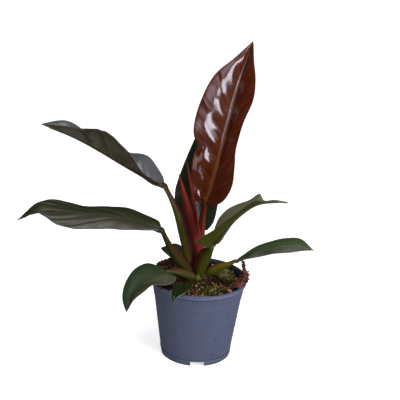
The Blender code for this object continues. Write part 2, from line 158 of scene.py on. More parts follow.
def ramp(tree, value, low, high, toLow=0.0, toHigh=1.0):
    node = addNode(tree, "ShaderNodeMapRange", interpolation_type="SMOOTHSTEP")
    for socket, part in zip(node.inputs, (value, low, high, toLow, toHigh)):
        feed(tree, socket, part)
    return node.outputs[0]


def mixColour(tree, share, first, second):
    node = addNode(tree, "ShaderNodeMix", data_type="RGBA")
    feed(tree, node.inputs[0], share)
    feed(tree, node.inputs[6], first)
    feed(tree, node.inputs[7], second)
    return node.outputs[2]


def laidOver(tree, colour, layers):
    # each layer: where it lies, how strongly, and its colour
    for where, share, tone in layers:
        colour = mixColour(tree, times(tree, where, share), colour, tone)
    return colour


def noiseOf(tree, vector, scale, detail=3.0, rough=0.55):
    node = addNode(tree, "ShaderNodeTexNoise")
    feed(tree, node.inputs["Vector"], vector)
    node.inputs["Scale"].default_value = scale
    node.inputs["Detail"].default_value = detail
    node.inputs["Roughness"].default_value = rough
    return node.outputs["Fac"]


def partsOf(tree, vector):
    node = addNode(tree, "ShaderNodeSeparateXYZ")
    feed(tree, node.inputs[0], vector)
    return node.outputs


def stretched(tree, vector, scale):
    node = addNode(tree, "ShaderNodeMapping")
    feed(tree, node.inputs["Vector"], vector)
    node.inputs["Scale"].default_value = scale
    return node.outputs[0]


def objectPlace(tree):
    return addNode(tree, "ShaderNodeTexCoord").outputs["Object"]


def ownMap(tree, name):
    return addNode(tree, "ShaderNodeUVMap", uv_map=name).outputs[0]


def bumpOf(tree, height, strength, distance):
    node = addNode(tree, "ShaderNodeBump")
    node.inputs["Strength"].default_value = strength
    node.inputs["Distance"].default_value = distance
    feed(tree, node.inputs["Height"], height)
    return node.outputs[0]


def dress(tree, skin, colour, rough, height, strength, depth):
    feed(tree, skin["Base Color"], colour)
    feed(tree, skin["Roughness"], rough)
    feed(tree, skin["Normal"], bumpOf(tree, height, strength, depth))


def newGroup(name, inputs, outputs):
    group = bpy.data.node_groups.new(name, "ShaderNodeTree")
    for label, kind, value in inputs:
        socket = group.interface.new_socket(label, in_out="INPUT", socket_type="NodeSocket" + kind)
        if value is not None:
            socket.default_value = value
    for label, kind in outputs:
        group.interface.new_socket(label, in_out="OUTPUT", socket_type="NodeSocket" + kind)
    return group, addNode(group, "NodeGroupInput").outputs, addNode(group, "NodeGroupOutput").inputs


def placeGroup(tree, group, **values):
    node = addNode(tree, "ShaderNodeGroup", node_tree=group)
    for label, value in values.items():
        feed(tree, node.inputs[label], value)
    return node.outputs


def newMaterial(name, roughness, specular, coat=0.0, coatRoughness=0.1, sheen=0.0):
    made = bpy.data.materials.new(name)
    made.use_nodes = True
    shader = made.node_tree.nodes["Principled BSDF"]
    shader.inputs["Roughness"].default_value = roughness
    shader.inputs["Specular IOR Level"].default_value = specular
    shader.inputs["Coat Weight"].default_value = coat
    shader.inputs["Coat Roughness"].default_value = coatRoughness
    shader.inputs["Sheen Weight"].default_value = sheen
    return made, made.node_tree, shader.inputs


# the shape that all blades share: grid, thickness, and how the side veins run. halfStep sets the
# veins of one half between those of the other
bladeShape = {
    "cells": (150, 52), "thickness": 0.55, "tipPinch": 0.02, "veinCurve": 0.85, "halfStep": 0.37,
    "lean": 0.95, "waves": 2.3, "waveStep": 1.7, "ribGroove": 0.7, "ribReach": 0.05,
    "lumpGrain": 0.045, "lumps": 0.5, "bulge": 0.1, "mottle": 45.0, "patches": 17.0,
}


def makeBladeGroup():
    # midrib, side veins, margin and fine streaks of a blade, from its own map:
    # u runs from foot to tip, v from the left margin over the midrib to the right one
    group, given, result = newGroup(
        "bladePattern",
        [("Map", "Vector", None), ("Vein count", "Float", 12.0), ("Left slope", "Float", 2.5),
         ("Right slope", "Float", 2.5), ("Rib width", "Float", 0.05), ("Margin width", "Float", 0.03)],
        [(label, "Float") for label in ("Midrib", "Veins", "Margin", "Streaks", "Bulge", "Right half",
                                        "Left edge", "Along")])
    u, v, _ = partsOf(group, given["Map"])
    out = calc(group, "ABSOLUTE", calc(group, "MULTIPLY_ADD", v, 2.0, -1.0))
    side = calc(group, "GREATER_THAN", v, 0.5)
    feed(group, result["Along"], u)
    feed(group, result["Right half"], ramp(group, v, 0.47, 0.53))
    edge = times(group, ramp(group, v, 0.0, 0.07), ramp(group, v, 0.30, 0.10))
    feed(group, result["Left edge"], times(group, edge, ramp(group, u, 0.40, 0.75)))
    wander = calc(group, "MULTIPLY_ADD", noiseOf(group, given["Map"], 5.0, 1.0), 0.24, -0.12)
    slope = calc(group, "ADD", times(group, side, given["Right slope"]),
                 times(group, oneMinus(group, side), given["Left slope"]))
    lean = times(group, calc(group, "POWER", out, bladeShape["veinCurve"]), slope)
    course = calc(group, "SUBTRACT", times(group, u, given["Vein count"]), lean)
    course = calc(group, "ADD", course, wander)
    course = calc(group, "MULTIPLY_ADD", side, bladeShape["halfStep"], course)
    apart = calc(group, "ABSOLUTE", calc(group, "SUBTRACT", calc(group, "FRACT", course), 0.5))
    thin = calc(group, "MULTIPLY_ADD", out, -0.035, 0.065)
    line = oneMinus(group, ramp(group, apart, 0.0, thin))
    fade = times(group, ramp(group, out, 0.97, 0.70), ramp(group, u, 0.99, 0.85))
    feed(group, result["Veins"], times(group, line, fade))
    taper = times(group, given["Rib width"], calc(group, "MULTIPLY_ADD", u, -0.8, 1.0))
    offRib = ramp(group, out, times(group, taper, 0.55), taper)
    feed(group, result["Midrib"], oneMinus(group, offRib))
    marginStart = oneMinus(group, given["Margin width"])
    feed(group, result["Margin"], ramp(group, out, marginStart, 1.0))
    strand = addNode(group, "ShaderNodeCombineXYZ")
    feed(group, strand.inputs[0], times(group, course, 6.0))
    feed(group, strand.inputs[1], times(group, out, 1.6))
    feed(group, strand.inputs[2], times(group, side, 5.0))
    feed(group, result["Streaks"], noiseOf(group, strand.outputs[0], 1.0, 2.0))
    feed(group, result["Bulge"], times(group, ramp(group, apart, 0.0, 0.4), fade))
    return group


def makeMottleGroup():
    # broad and fine unevenness that no living or moulded surface is without
    group, given, result = newGroup(
        "mottle", [("Place", "Vector", None), ("Size", "Float", 60.0)],
        [("Broad", "Float"), ("Fine", "Float")])
    scaled = addNode(group, "ShaderNodeVectorMath", operation="SCALE")
    feed(group, scaled.inputs[0], given["Place"])
    feed(group, scaled.inputs["Scale"], given["Size"])
    feed(group, result["Broad"], ramp(group, noiseOf(group, scaled.outputs[0], 1.0, 3.0), 0.3, 0.7))
    feed(group, result["Fine"], noiseOf(group, scaled.outputs[0], 9.0, 4.0, 0.65))
    return group


bladeGroup = makeBladeGroup()
mottleGroup = makeMottleGroup()


def mottle(tree, size):
    return placeGroup(tree, mottleGroup, Place=objectPlace(tree), Size=size)


print("effects ready")


# the rails of each blade, from its foot to its tip: left edge, midrib and right edge. bow lifts
# each half, quilt is the swelling between side veins, wave the play of the margin. dents pinch one
# margin (side, place, reach, depth), creases are folds across (place, lean, reach, depth), and own
# is what differs from the look
leaves = {
    "tall": {
        "left": [(-3, 4, 96), (-13, 4, 104), (-16, 4, 124), (-15, 4, 146), (-13, 6, 167),
                 (-15, 6, 194), (-8, 7, 225), (6, 10, 255), (28, 14, 276), (49, 20, 296)],
        "mid": [(4, 6, 97), (7, 8, 106), (11, 10, 121), (16, 12, 143), (20, 13, 164),
                (25, 15, 190), (31, 17, 222), (37, 18, 250), (44, 19, 274), (50, 20, 297)],
        "right": [(10, 3, 92), (25, 2, 100), (35, 2, 120), (37, 3, 147), (38, 5, 169),
                  (45, 6, 199), (55, 8, 228), (56, 11, 253), (53, 15, 274), (51, 20, 296)],
        "bow": 1.8, "quilt": 0.95, "wave": 0.7, "veins": 7, "look": "red", "lumps": 0.9,
        "dents": [("left", 0.455, 0.030, 0.16), ("right", 0.60, 0.10, 0.05)],
    },
    "back": {
        "left": [(-6, 22, 55), (-22, 20, 66), (-33, 20, 84), (-35, 22, 101), (-32, 27, 116),
                 (-19, 39, 153), (-1, 53, 196)],
        "mid": [(1, 25, 51), (-1, 27, 63), (-3, 30, 81), (-4, 33, 99), (-4, 37, 117),
                (-2, 46, 158), (2, 54, 199)],
        "right": [(8, 22, 53), (15, 20, 65), (19, 20, 85), (21, 22, 105), (21, 27, 125),
                  (13, 39, 165), (5, 53, 196)],
        "bow": 1.5, "quilt": 0.2, "wave": 0.6, "veins": 10, "look": "deep",
    },
    "upper_left": {
        "left": [(-51, -14, 124), (-62, -18, 132), (-73, -21, 141), (-84, -22, 159),
                 (-102, -21, 177), (-121, -18, 190), (-140, -12, 190), (-168, -1, 188), (-199, 15, 184)],
        "mid": [(-49, -12, 124), (-60, -10, 126), (-73, -7, 133), (-90, -4, 141),
                (-111, 0, 151), (-132, 4, 161), (-153, 8, 170), (-179, 13, 177), (-200, 16, 184)],
        "right": [(-47, -9, 125), (-50, 4, 129), (-58, 12, 139), (-70, 18, 149),
                  (-91, 23, 151), (-115, 26, 157), (-142, 27, 172), (-171, 25, 187), (-199, 18, 184)],
        "bow": 1.6, "quilt": 0.18, "wave": 0.8, "veins": 11, "look": "bronze", "lean": 1.4,
        "creases": [(0.34, 0.15, 0.03, 1.2), (0.52, 0.12, 0.018, 1.8), (0.66, 0.14, 0.03, 1.5)],
        # the blue-grey upper face is partly its own colour, partly a painted sheen
        "own": {"top": (0.064, 0.062, 0.062), "right": (0.070, 0.072, 0.078), "shade": (0.020, 0.016, 0.010),
                "patch": (0.050, 0.044, 0.020), "under": (0.074, 0.062, 0.050), "roughness": 0.28,
                "underRoughness": 0.42},
    },
    "mid_left": {
        "left": [(-50, -38, 74), (-66, -46, 76), (-83, -57, 81), (-105, -64, 84), (-127, -71, 85),
                 (-150, -77, 87), (-171, -78, 95), (-190, -72, 103), (-215, -65, 89)],
        "mid": [(-49, -36, 75), (-61, -38, 79), (-79, -41, 85), (-101, -45, 92), (-124, -49, 96),
                (-149, -54, 99), (-174, -58, 101), (-196, -61, 100), (-216, -64, 89)],
        "right": [(-48, -34, 76), (-52, -24, 81), (-67, -18, 86), (-89, -18, 93), (-114, -22, 95),
                  (-141, -28, 98), (-168, -34, 106), (-194, -46, 106), (-215, -62, 89)],
        "bow": 2.0, "quilt": 0.10, "wave": 0.8, "veins": 12, "look": "bronze", "lean": 2.0, "lumps": 1.0,
        "creases": [(0.28, 0.45, 0.03, 1.3), (0.50, 0.35, 0.025, 1.4), (0.66, 0.30, 0.018, 1.2)],
        # the grey-brown half against the dark one: partly own colour, partly painted sheen and shade
        "own": {"top": (0.038, 0.032, 0.024), "right": (0.013, 0.016, 0.003), "shade": (0.018, 0.018, 0.006),
                "patch": (0.036, 0.036, 0.020), "rib": (0.050, 0.060, 0.030), "ribWidth": 0.13},
    },
    "lower_left": {
        "left": [(-36, -34, 16), (-28, -40, 15), (-29, -49, 13), (-39, -60, 13), (-53, -70, 17),
                 (-64, -80, 13), (-75, -88, 5), (-82, -93, -8)],
        "mid": [(-41, -30, 17), (-48, -36, 17), (-56, -45, 16), (-65, -54, 13), (-72, -64, 8),
                (-77, -73, 3), (-80, -82, -1), (-83, -93, -9)],
        "right": [(-43, -27, 19), (-53, -23, 22), (-65, -28, 26), (-78, -40, 23), (-86, -54, 16),
                  (-90, -68, 7), (-89, -80, -2), (-84, -92, -9)],
        "bow": 1.6, "quilt": 0.05, "wave": 0.5, "veins": 10, "look": "green", "lean": 1.3,
        # the greyer near half against the green far half: partly own colour, partly a painted sheen
        "own": {"top": (0.074, 0.078, 0.048), "right": (0.012, 0.026, 0.007), "shade": (0.044, 0.038, 0.024),
                "patch": (0.028, 0.040, 0.014), "streak": 0.05, "roughness": 0.48, "specular": 0.18},
    },
    "upper_right": {
        "left": [(8, -34, 53), (-4.0, -38.6, 60.2), (-7.2, -40.2, 62.6), (-4.2, -41.8, 65.6), (4, -46, 74),
                 (14, -52, 83), (24, -56, 94), (38, -58, 107), (52, -58, 120), (62, -56, 126),
                 (71, -52, 123), (85, -50, 123), (101, -48, 122)],
        "mid": [(14, -33, 53), (18, -34, 60), (23, -36, 70), (29, -38, 80), (36, -40, 92),
                (46, -43, 104), (56, -46, 113), (65, -49, 119), (72, -50, 121), (85, -49, 122),
                (101, -48, 121)],
        "right": [(19, -28, 53), (16, -17, 68), (18, -15, 78), (22, -16, 87), (31, -18, 98),
                  (43, -22, 107), (56, -28, 116), (67, -36, 127), (73, -46, 122), (85, -47, 124),
                  (101, -47, 122)],
        "bow": 1.0, "quilt": 0.2, "wave": 0.4, "veins": 12, "look": "bronze",
        "own": {"under": (0.026, 0.028, 0.0008), "shade": (0.022, 0.024, 0.002),
                "patch": (0.034, 0.036, 0.002), "top": (0.105, 0.107, 0.072),
                "right": (0.112, 0.112, 0.076), "underRoughness": 0.7, "specular": 0.12},
    },
    "lower_right": {
        "left": [(46, -10, 26), (55, -15, 31), (70, -22, 39), (87, -26, 45), (106, -26, 48),
                 (123, -20, 49), (141, -1, 42)],
        "mid": [(45, -8, 26), (55, -6, 30), (69, -4, 36), (87, -2, 41), (106, -1, 45),
                (124, 0, 46), (142, 0, 42)],
        "right": [(46, -5, 26), (54, 4, 30), (68, 12, 37), (87, 18, 43), (106, 20, 49),
                  (126, 16, 50), (141, 2, 42)],
        "bow": 1.6, "quilt": 0.16, "wave": 0.6, "veins": 11, "look": "green", "lean": 1.8,
        # the pale grey near half against the green far half: partly own colour, partly a painted sheen
        "own": {"top": (0.150, 0.150, 0.128), "right": (0.033, 0.055, 0.011), "shade": (0.072, 0.076, 0.054),
                "patch": (0.036, 0.052, 0.018)},
    },
    "back_left": {
        "left": [(-19, 20, 12), (-33, 24, 10), (-41, 28, 13), (-48, 34, 17), (-50, 39, 18)],
        "mid": [(-19, 23, 15), (-27, 28, 16), (-36, 33, 17), (-43, 37, 17), (-51, 41, 17)],
        "right": [(-19, 26, 20), (-26, 34, 26), (-35, 40, 25), (-43, 42, 21), (-50, 42, 18)],
        "bow": 0.6, "quilt": 0.15, "wave": 0.3, "veins": 7, "look": "bronze",
    },
}

# radii, heights from the foot and widths; drops are measured from the top
potSizes = {
    "rim": 60.0, "height": 102.5, "base": 44.0, "wall": 1.6, "lip": 5.0, "overhang": 2.4,
    "lipFlat": 1.9, "lipSlope": 2.4, "lipRound": 0.9, "mouthTaper": 0.6, "stepDrop": 23.0,
    "stepDepth": 0.5, "groove": 7.5, "grooveDepth": 0.6, "grooveWidth": 1.4, "floor": 6.4,
    "floorThick": 1.8, "footWall": 2.6, "notch": 17.5, "notchClear": 0.4, "notchTurn": 4.5,
    "drain": 4.0, "drains": 8, "drainRing": 27.0, "steps": 144,
}


def overRim(degrees, inset, rise):
    # a point by the lip, from the world's origin
    turn = math.radians(degrees)
    out = potSizes["rim"] - inset
    return potAxis + Vector((out * math.cos(turn), out * math.sin(turn), potSizes["height"] + rise))


# the small front leaf, from a point on the lip
smallLeaf = {
    "left": [(13.5, 32, -3.5), (6.5, 28, 0.5), (-1.5, 20, 3.5), (-6.5, 9, 4.5), (-7.5, -2, 2.5),
             (-6.5, -13, -2.5)],
    "mid": [(14.5, 31, -4.5), (8.5, 22, -0.5), (3.5, 9, 2.5), (-0.5, -2, 3.5), (-3.5, -9, 1.5),
            (-5.5, -14, -3.5)],
    "right": [(15.5, 28, -3.5), (12.5, 13, 0.5), (7.5, -4, 3.5), (2.5, -11, 3.5), (-1.5, -14, 1.5),
              (-4.5, -15, -2.5)],
    "bow": 1.0, "quilt": 0.12, "wave": 0.2, "veins": 7, "look": "glossy",
    "lip": -113, "cells": (70, 36),
}

# top and under are the two faces, shade and patch the uneven places on them, right what the
# right half turns to, partly its own colour and partly painted shade and sheen, bloomAndSheen the waxy film
# near the left edge with a painted sheen in it, ribTipAndHighlight the paler end of the midrib, partly a
# painted highlight
bladeLooks = {
    # the tall blade's darker right half is partly painted shade
    "red": {"top": (0.044, 0.0062, 0.0006), "shade": (0.032, 0.0040, 0.0005),
            "patch": (0.056, 0.0095, 0.0006), "right": (0.036, 0.0033, 0.0003),
            "under": (0.07, 0.012, 0.004), "rib": (0.085, 0.024, 0.004), "vein": (0.105, 0.032, 0.003),
            "margin": (0.07, 0.020, 0.007), "ribWidth": 0.17, "marginWidth": 0.015,
            "roughness": 0.10, "rightRoughness": 0.42, "underRoughness": 0.4, "coat": 0.9,
            "specular": 0.09, "veinShare": 0.34, "streak": 0.55, "bulge": 0.5,
            "bloomAndSheen": (0.22, 0.17, 0.19), "bloomAndSheenShare": 0.5, "ribTipAndHighlight": (0.16, 0.13, 0.13)},
    "deep": {"top": (0.014, 0.020, 0.007), "shade": (0.008, 0.012, 0.006), "patch": (0.018, 0.022, 0.006),
             "right": (0.010, 0.016, 0.009), "under": (0.03, 0.04, 0.02),
             "rib": (0.07, 0.085, 0.035), "vein": (0.03, 0.04, 0.016), "margin": (0.04, 0.04, 0.02),
             "ribWidth": 0.09, "marginWidth": 0.02, "roughness": 0.38, "underRoughness": 0.55,
             "specular": 0.35, "veinShare": 0.4, "streak": 0.16},
    "bronze": {"top": (0.030, 0.030, 0.016), "shade": (0.036, 0.024, 0.012), "patch": (0.026, 0.032, 0.008),
               "right": (0.020, 0.025, 0.009), "under": (0.046, 0.037, 0.027),
               "rib": (0.080, 0.076, 0.038), "vein": (0.040, 0.038, 0.020), "margin": (0.085, 0.045, 0.03),
               "ribWidth": 0.09, "marginWidth": 0.022, "roughness": 0.42, "underRoughness": 0.5,
               "specular": 0.40, "veinShare": 0.3, "streak": 0.10},
    "green": {"top": (0.017, 0.036, 0.011), "shade": (0.026, 0.030, 0.012), "patch": (0.012, 0.032, 0.008),
              "right": (0.022, 0.036, 0.014), "under": (0.05, 0.06, 0.035),
              "rib": (0.10, 0.13, 0.055), "vein": (0.034, 0.052, 0.020), "margin": (0.13, 0.085, 0.05),
              "ribWidth": 0.06, "marginWidth": 0.022, "roughness": 0.40, "underRoughness": 0.5,
              "specular": 0.40, "veinShare": 0.4, "streak": 0.16},
    "glossy": {"top": (0.006, 0.016, 0.003), "shade": (0.004, 0.010, 0.003), "patch": (0.009, 0.022, 0.004),
               "right": (0.006, 0.016, 0.003), "under": (0.03, 0.05, 0.02),
               "rib": (0.030, 0.06, 0.018), "vein": (0.014, 0.036, 0.010), "margin": (0.22, 0.21, 0.12),
               "ribWidth": 0.08, "marginWidth": 0.06, "roughness": 0.12, "underRoughness": 0.4,
               "specular": 0.5, "veinShare": 0.4, "streak": 0.10},
}


def makeBladeMaterials(name, look, veins, slopes):
    # the upper face, the underside and the margin of one blade
    made = []
    for side in ("top", "under", "margin"):
        isTop = side == "top"
        rough = look["roughness"] if isTop else look["underRoughness"]
        material, tree, skin = newMaterial(
            f"{name}_{side}", rough,
            look["specular"] if isTop else look["specular"] * 0.6,
            coat=look.get("coat", 0.0) if isTop else 0.0, coatRoughness=look["roughness"])
        pattern = placeGroup(tree, bladeGroup, **{
            "Map": ownMap(tree, "bladeMap"), "Vein count": float(veins),
            "Left slope": slopes["left"], "Right slope": slopes["right"],
            "Rib width": look["ribWidth"], "Margin width": look["marginWidth"]})
        spots = mottle(tree, bladeShape["mottle"])
        if side == "margin":
            colour = mixColour(tree, spots["Broad"], look["margin"], look["rib"])
        else:
            body = look["top"] if isTop else look["under"]
            colour = mixColour(tree, spots["Broad"], body, look["shade"])
            layers = [(mottle(tree, bladeShape["patches"])["Broad"], 0.6, look["patch"])]
            if isTop:
                # the right half's colour; where it differs from the left it is partly painted shade and sheen
                layers.append((pattern["Right half"], 0.85, look["right"]))
            # a pale film near the left edge: partly waxy bloom, partly a painted sheen
            if isTop and "bloomAndSheen" in look:
                waxAndSheen = times(tree, pattern["Left edge"], ramp(tree, pattern["Streaks"], 0.35, 0.62))
                layers.append((waxAndSheen, look["bloomAndSheenShare"], look["bloomAndSheen"]))
            layers += [(ramp(tree, pattern["Streaks"], 0.35, 0.8), 0.16, look["vein"]),
                       (pattern["Veins"], look["veinShare"], look["vein"]),
                       (pattern["Midrib"], 0.85, look["rib"])]
            # the paler end of the midrib, partly a painted highlight along it
            if isTop and "ribTipAndHighlight" in look:
                pale = times(tree, pattern["Midrib"], ramp(tree, pattern["Along"], 0.35, 0.6))
                layers.append((pale, 0.7, look["ribTipAndHighlight"]))
            layers.append((pattern["Margin"], 0.7, look["margin"]))
            colour = laidOver(tree, colour, layers)
        rough = ramp(tree, spots["Fine"], 0.3, 0.7, rough * 0.8, rough * 1.25)
        if isTop and "rightRoughness" in look:
            extra = times(tree, pattern["Right half"], look["rightRoughness"] - look["roughness"])
            rough = calc(tree, "ADD", rough, extra)
            coat = ramp(tree, pattern["Right half"], 0.0, 1.0, look["coat"], look["coat"] * 0.2)
            feed(tree, skin["Coat Weight"], coat)
        height = times(tree, pattern["Streaks"], look["streak"])
        height = calc(tree, "MULTIPLY_ADD", pattern["Bulge"], look.get("bulge", bladeShape["bulge"]), height)
        height = calc(tree, "MULTIPLY_ADD", spots["Fine"], 0.10, height)
        dress(tree, skin, colour, rough, height, 0.6 if isTop else 0.4, 0.0008)
        made.append(material)
    return made


def surfaceUp(leaf, share):
    # which way the upper face looks at a place on the midrib
    heading = along(leaf["mid"], share + 0.01) - along(leaf["mid"], share - 0.01)
    width = along(leaf["right"], share) - along(leaf["left"], share)
    up = heading.cross(width).normalized()
    return up if up.dot(upHint) > 0 else -up


def veinSlopes(leaf):
    # side veins leave the midrib at the same angle on both halves, however wide each is
    shares = [index / 20 for index in range(21)]
    middles = [along(leaf["mid"], share) for share in shares]
    length = sum((end - start).length for start, end in zip(middles, middles[1:]))
    broad = range(4, 17)
    slopes = {}
    for side in ("left", "right"):
        widths = [(along(leaf[side], shares[index]) - middles[index]).length for index in broad]
        width = sum(widths) / len(widths)
        slopes[side] = leaf["veins"] * width / length * leaf.get("lean", bladeShape["lean"])
    return slopes


def buildLeaf(name, leaf, start, cells=bladeShape["cells"]):
    # a grid laid between the three rails, then lifted along its own normals
    shape = bladeShape
    sheet = bmesh.new()
    bmesh.ops.create_grid(sheet, x_segments=cells[0], y_segments=cells[1], size=1.0)
    layMap(sheet, "bladeMap", lambda co: ((co.x + 1) / 2, (co.y + 1) / 2))
    places = {}
    for point in sheet.verts:
        share, across = (point.co.x + 1) / 2, point.co.y
        places[point] = (share, across)
        side = along(leaf["right" if across > 0 else "left"], share)
        pinch = smooth(1.0 - share, 0.0, shape["tipPinch"])
        for dentSide, dentShare, reach, depth in leaf.get("dents", ()):
            if dentSide == ("right" if across > 0 else "left"):
                pinch *= 1.0 - depth * math.exp(-((share - dentShare) / reach) ** 2)
        point.co = start + along(leaf["mid"], share).lerp(side, abs(across) * pinch)
    sheet.normal_update()
    facing = sum(face.normal.dot(upHint) * face.calc_area() for face in sheet.faces)
    if facing < 0:
        bmesh.ops.reverse_faces(sheet, faces=sheet.faces)
        sheet.normal_update()
    lifts = {}
    slopes = veinSlopes(leaf)
    for point, (share, across) in places.items():
        out = abs(across)
        ends = math.sin(math.pi * min(max(share, 0.02), 0.98)) ** 0.5
        turn, step = (shape["waveStep"], shape["halfStep"]) if across > 0 else (0.0, 0.0)
        slope = slopes["right" if across > 0 else "left"]
        course = share * leaf["veins"] - slope * out ** shape["veinCurve"] + step
        swell = 0.5 - 0.5 * math.cos(math.tau * (course - 0.5))
        lift = leaf["bow"] * math.sin(math.pi * out) * ends
        lift += leaf["quilt"] * swell * math.sin(math.pi * min(out * 1.1, 1.0)) * ends
        lift += leaf["wave"] * math.sin(math.tau * share * shape["waves"] + turn) * out ** 2 * ends
        lift -= shape["ribGroove"] * math.exp(-(out / shape["ribReach"]) ** 2) * ends
        lift += leaf.get("lumps", shape["lumps"]) * noise.noise(point.co * shape["lumpGrain"]) * ends
        for creaseShare, lean, reach, depth in leaf.get("creases", ()):
            apart = share - creaseShare - lean * out
            lift -= depth * math.exp(-(apart / reach) ** 2) * math.sin(math.pi * min(out, 1.0) * 0.75)
        lifts[point] = point.normal * lift
    for point, lift in lifts.items():
        point.co += lift
    bmesh.ops.remove_doubles(sheet, verts=sheet.verts, dist=0.01)
    look = dict(bladeLooks[leaf["look"]], **leaf.get("own", {}))
    skins = makeBladeMaterials(f"blade_{name}", look, leaf["veins"], slopes)
    piece = makePiece(f"leaf_{name}", sheet, skins, [f"leaf_{name}"], 80.0)
    thicken(piece, shape["thickness"], -1.0, 1, 2)


for leafName, leaf in leaves.items():
    buildLeaf(leafName, leaf, crown)
smallStart = overRim(smallLeaf["lip"], 0, 0)
buildLeaf("small_front", smallLeaf, smallStart, smallLeaf["cells"])
print("leaves built")


# stalks from the stem to the blade: x, y, z from the crown, half width and half thickness.
# face is the side the broad face looks to, curl bends its edges, mirror swaps body and flank
stalks = {
    "tall": {"path": [(0, 9, -1, 5.6, 3.6), (-0.6, 11, 28, 6.0, 3.2), (0, 11.5, 50, 5.2, 2.8),
                      (1.6, 10, 79, 3.8, 2.5), (3.4, 8, 93.6, 3.4, 2.3)], "look": "red", "curl": 0.2},
    "back": {"path": [(4, 15, -1, 3.4, 2.4), (3, 19, 16, 3.0, 2.4), (1, 23, 32, 2.8, 2.4),
                      (1, 25, 48.6, 2.4, 2.1)], "look": "olive", "curl": 0.3},
    "upper_left": {"path": [(-7, 1.5, -1, 5.6, 2.6), (-12, -3.0, 19, 7.0, 2.5), (-15.6, -5.2, 38, 7.2, 2.4),
                            (-21.4, -8.4, 61, 6.9, 2.4), (-28.6, -10.8, 84, 5.2, 2.3),
                            (-37.2, -12.6, 104, 3.4, 2.2), (-44.0, -12.2, 116.5, 2.9, 2.2),
                            (-46.6, -12, 121.0, 3.6, 2.9)],
                   "look": "twoTone", "curl": 1.1},
    "mid_left": {"path": [(-7.5, -5.0, -1, 5.2, 2.6), (-18, -12, 17, 5.8, 2.6), (-28.6, -19.6, 32, 5.2, 2.5),
                          (-37.8, -27.4, 51, 4.0, 2.4), (-44.6, -33.2, 67.5, 2.9, 2.3),
                          (-47.2, -35.0, 73, 3.9, 3.0)],
                 "look": "green", "face": (0.2, -1, 0.3), "curl": 0.7},
    "lower_left": {"path": [(-3.5, -12.5, 0.5, 4.4, 2.6), (-9, -14.5, 4.5, 5.4, 2.8),
                            (-18, -19.0, 10, 5.2, 2.7), (-27, -24.0, 14, 4.0, 2.4),
                            (-38, -29, 16.5, 2.6, 2.1)],
                   "look": "edged", "face": (0, -1, 0.25), "curl": 0.6},
    "upper_right": {"path": [(1.5, -10, -1, 6.0, 3.0), (0.5, -12, 13, 8.0, 3.0), (4.5, -15, 27, 8.6, 2.9),
                             (7.6, -21, 40, 7.6, 2.6), (13.0, -31.0, 51, 4.0, 2.4)],
                    "look": "sheath", "curl": 0.9, "mirror": True},
    "lower_right": {"path": [(7.5, -5, 0.5, 4.6, 2.8), (16, -8, 10, 6.0, 2.8), (26, -9, 17, 5.4, 2.6),
                             (36, -9, 21, 3.4, 2.2), (44.5, -8, 25.8, 2.2, 1.8)],
                    "look": "amber", "face": (0, -1, 0.25), "curl": 0.6, "mirror": True},
    "back_left": {"path": [(-9, 13, -1, 2.3, 2.0), (-12, 17, 9, 2.2, 1.8), (-16, 21, 13, 1.9, 1.6)],
                  "look": "olive", "curl": 0.2},
}
spears = {
    "spear_thick": {"path": [(2, -2, -1, 5.4, 3.4), (-2.5, 0.8, 23.5, 6.4, 3.5), (-9.0, 0.5, 51.5, 6.4, 3.4),
                             (-18.0, -3.5, 91.5, 4.9, 3.1), (-24.6, -8, 116, 3.2, 2.5),
                             (-30, -9, 137, 0.4, 0.4)],
                    "curl": 0.15},
    "spear_thin": {"path": [(8, 3, -1, 3.0, 2.3), (3.5, 5.8, 23, 3.0, 2.0), (-3, 6.4, 53, 3.0, 2.1),
                            (-10.5, 2.5, 94.5, 2.5, 2.1), (-17, -3, 129.5, 1.5, 1.4),
                            (-22, -6, 155, 0.3, 0.3)],
                   "curl": 0.1},
}
# body is the skin, flank its other side and tip the end by the blade
stalkLooks = {
    "red": {"body": (0.066, 0.0070, 0.002), "flank": (0.095, 0.014, 0.003), "tip": (0.09, 0.028, 0.005),
            "roughness": 0.42},
    "olive": {"body": (0.030, 0.034, 0.004), "flank": (0.040, 0.026, 0.006), "tip": (0.026, 0.030, 0.008)},
    "twoTone": {"body": (0.046, 0.044, 0.0016), "flank": (0.034, 0.0075, 0.004),
                "tip": (0.030, 0.024, 0.008)},
    "sheath": {"body": (0.036, 0.044, 0.0016), "flank": (0.036, 0.011, 0.004), "tip": (0.036, 0.042, 0.010)},
    "green": {"body": (0.018, 0.022, 0.0012), "flank": (0.036, 0.013, 0.003), "tip": (0.022, 0.024, 0.008)},
    "edged": {"body": (0.036, 0.050, 0.0015), "flank": (0.044, 0.024, 0.005), "tip": (0.036, 0.044, 0.010)},
    "amber": {"body": (0.040, 0.050, 0.0016), "flank": (0.115, 0.066, 0.004), "tip": (0.040, 0.046, 0.008)},
    "spear": {"body": (0.085, 0.0050, 0.0025), "flank": (0.115, 0.0085, 0.0050), "tip": (0.062, 0.008, 0.003),
              "roughness": 0.42},
}


earthyFoot = (0.02, 0.012, 0.006)  # what the skins darken to where they leave the soil


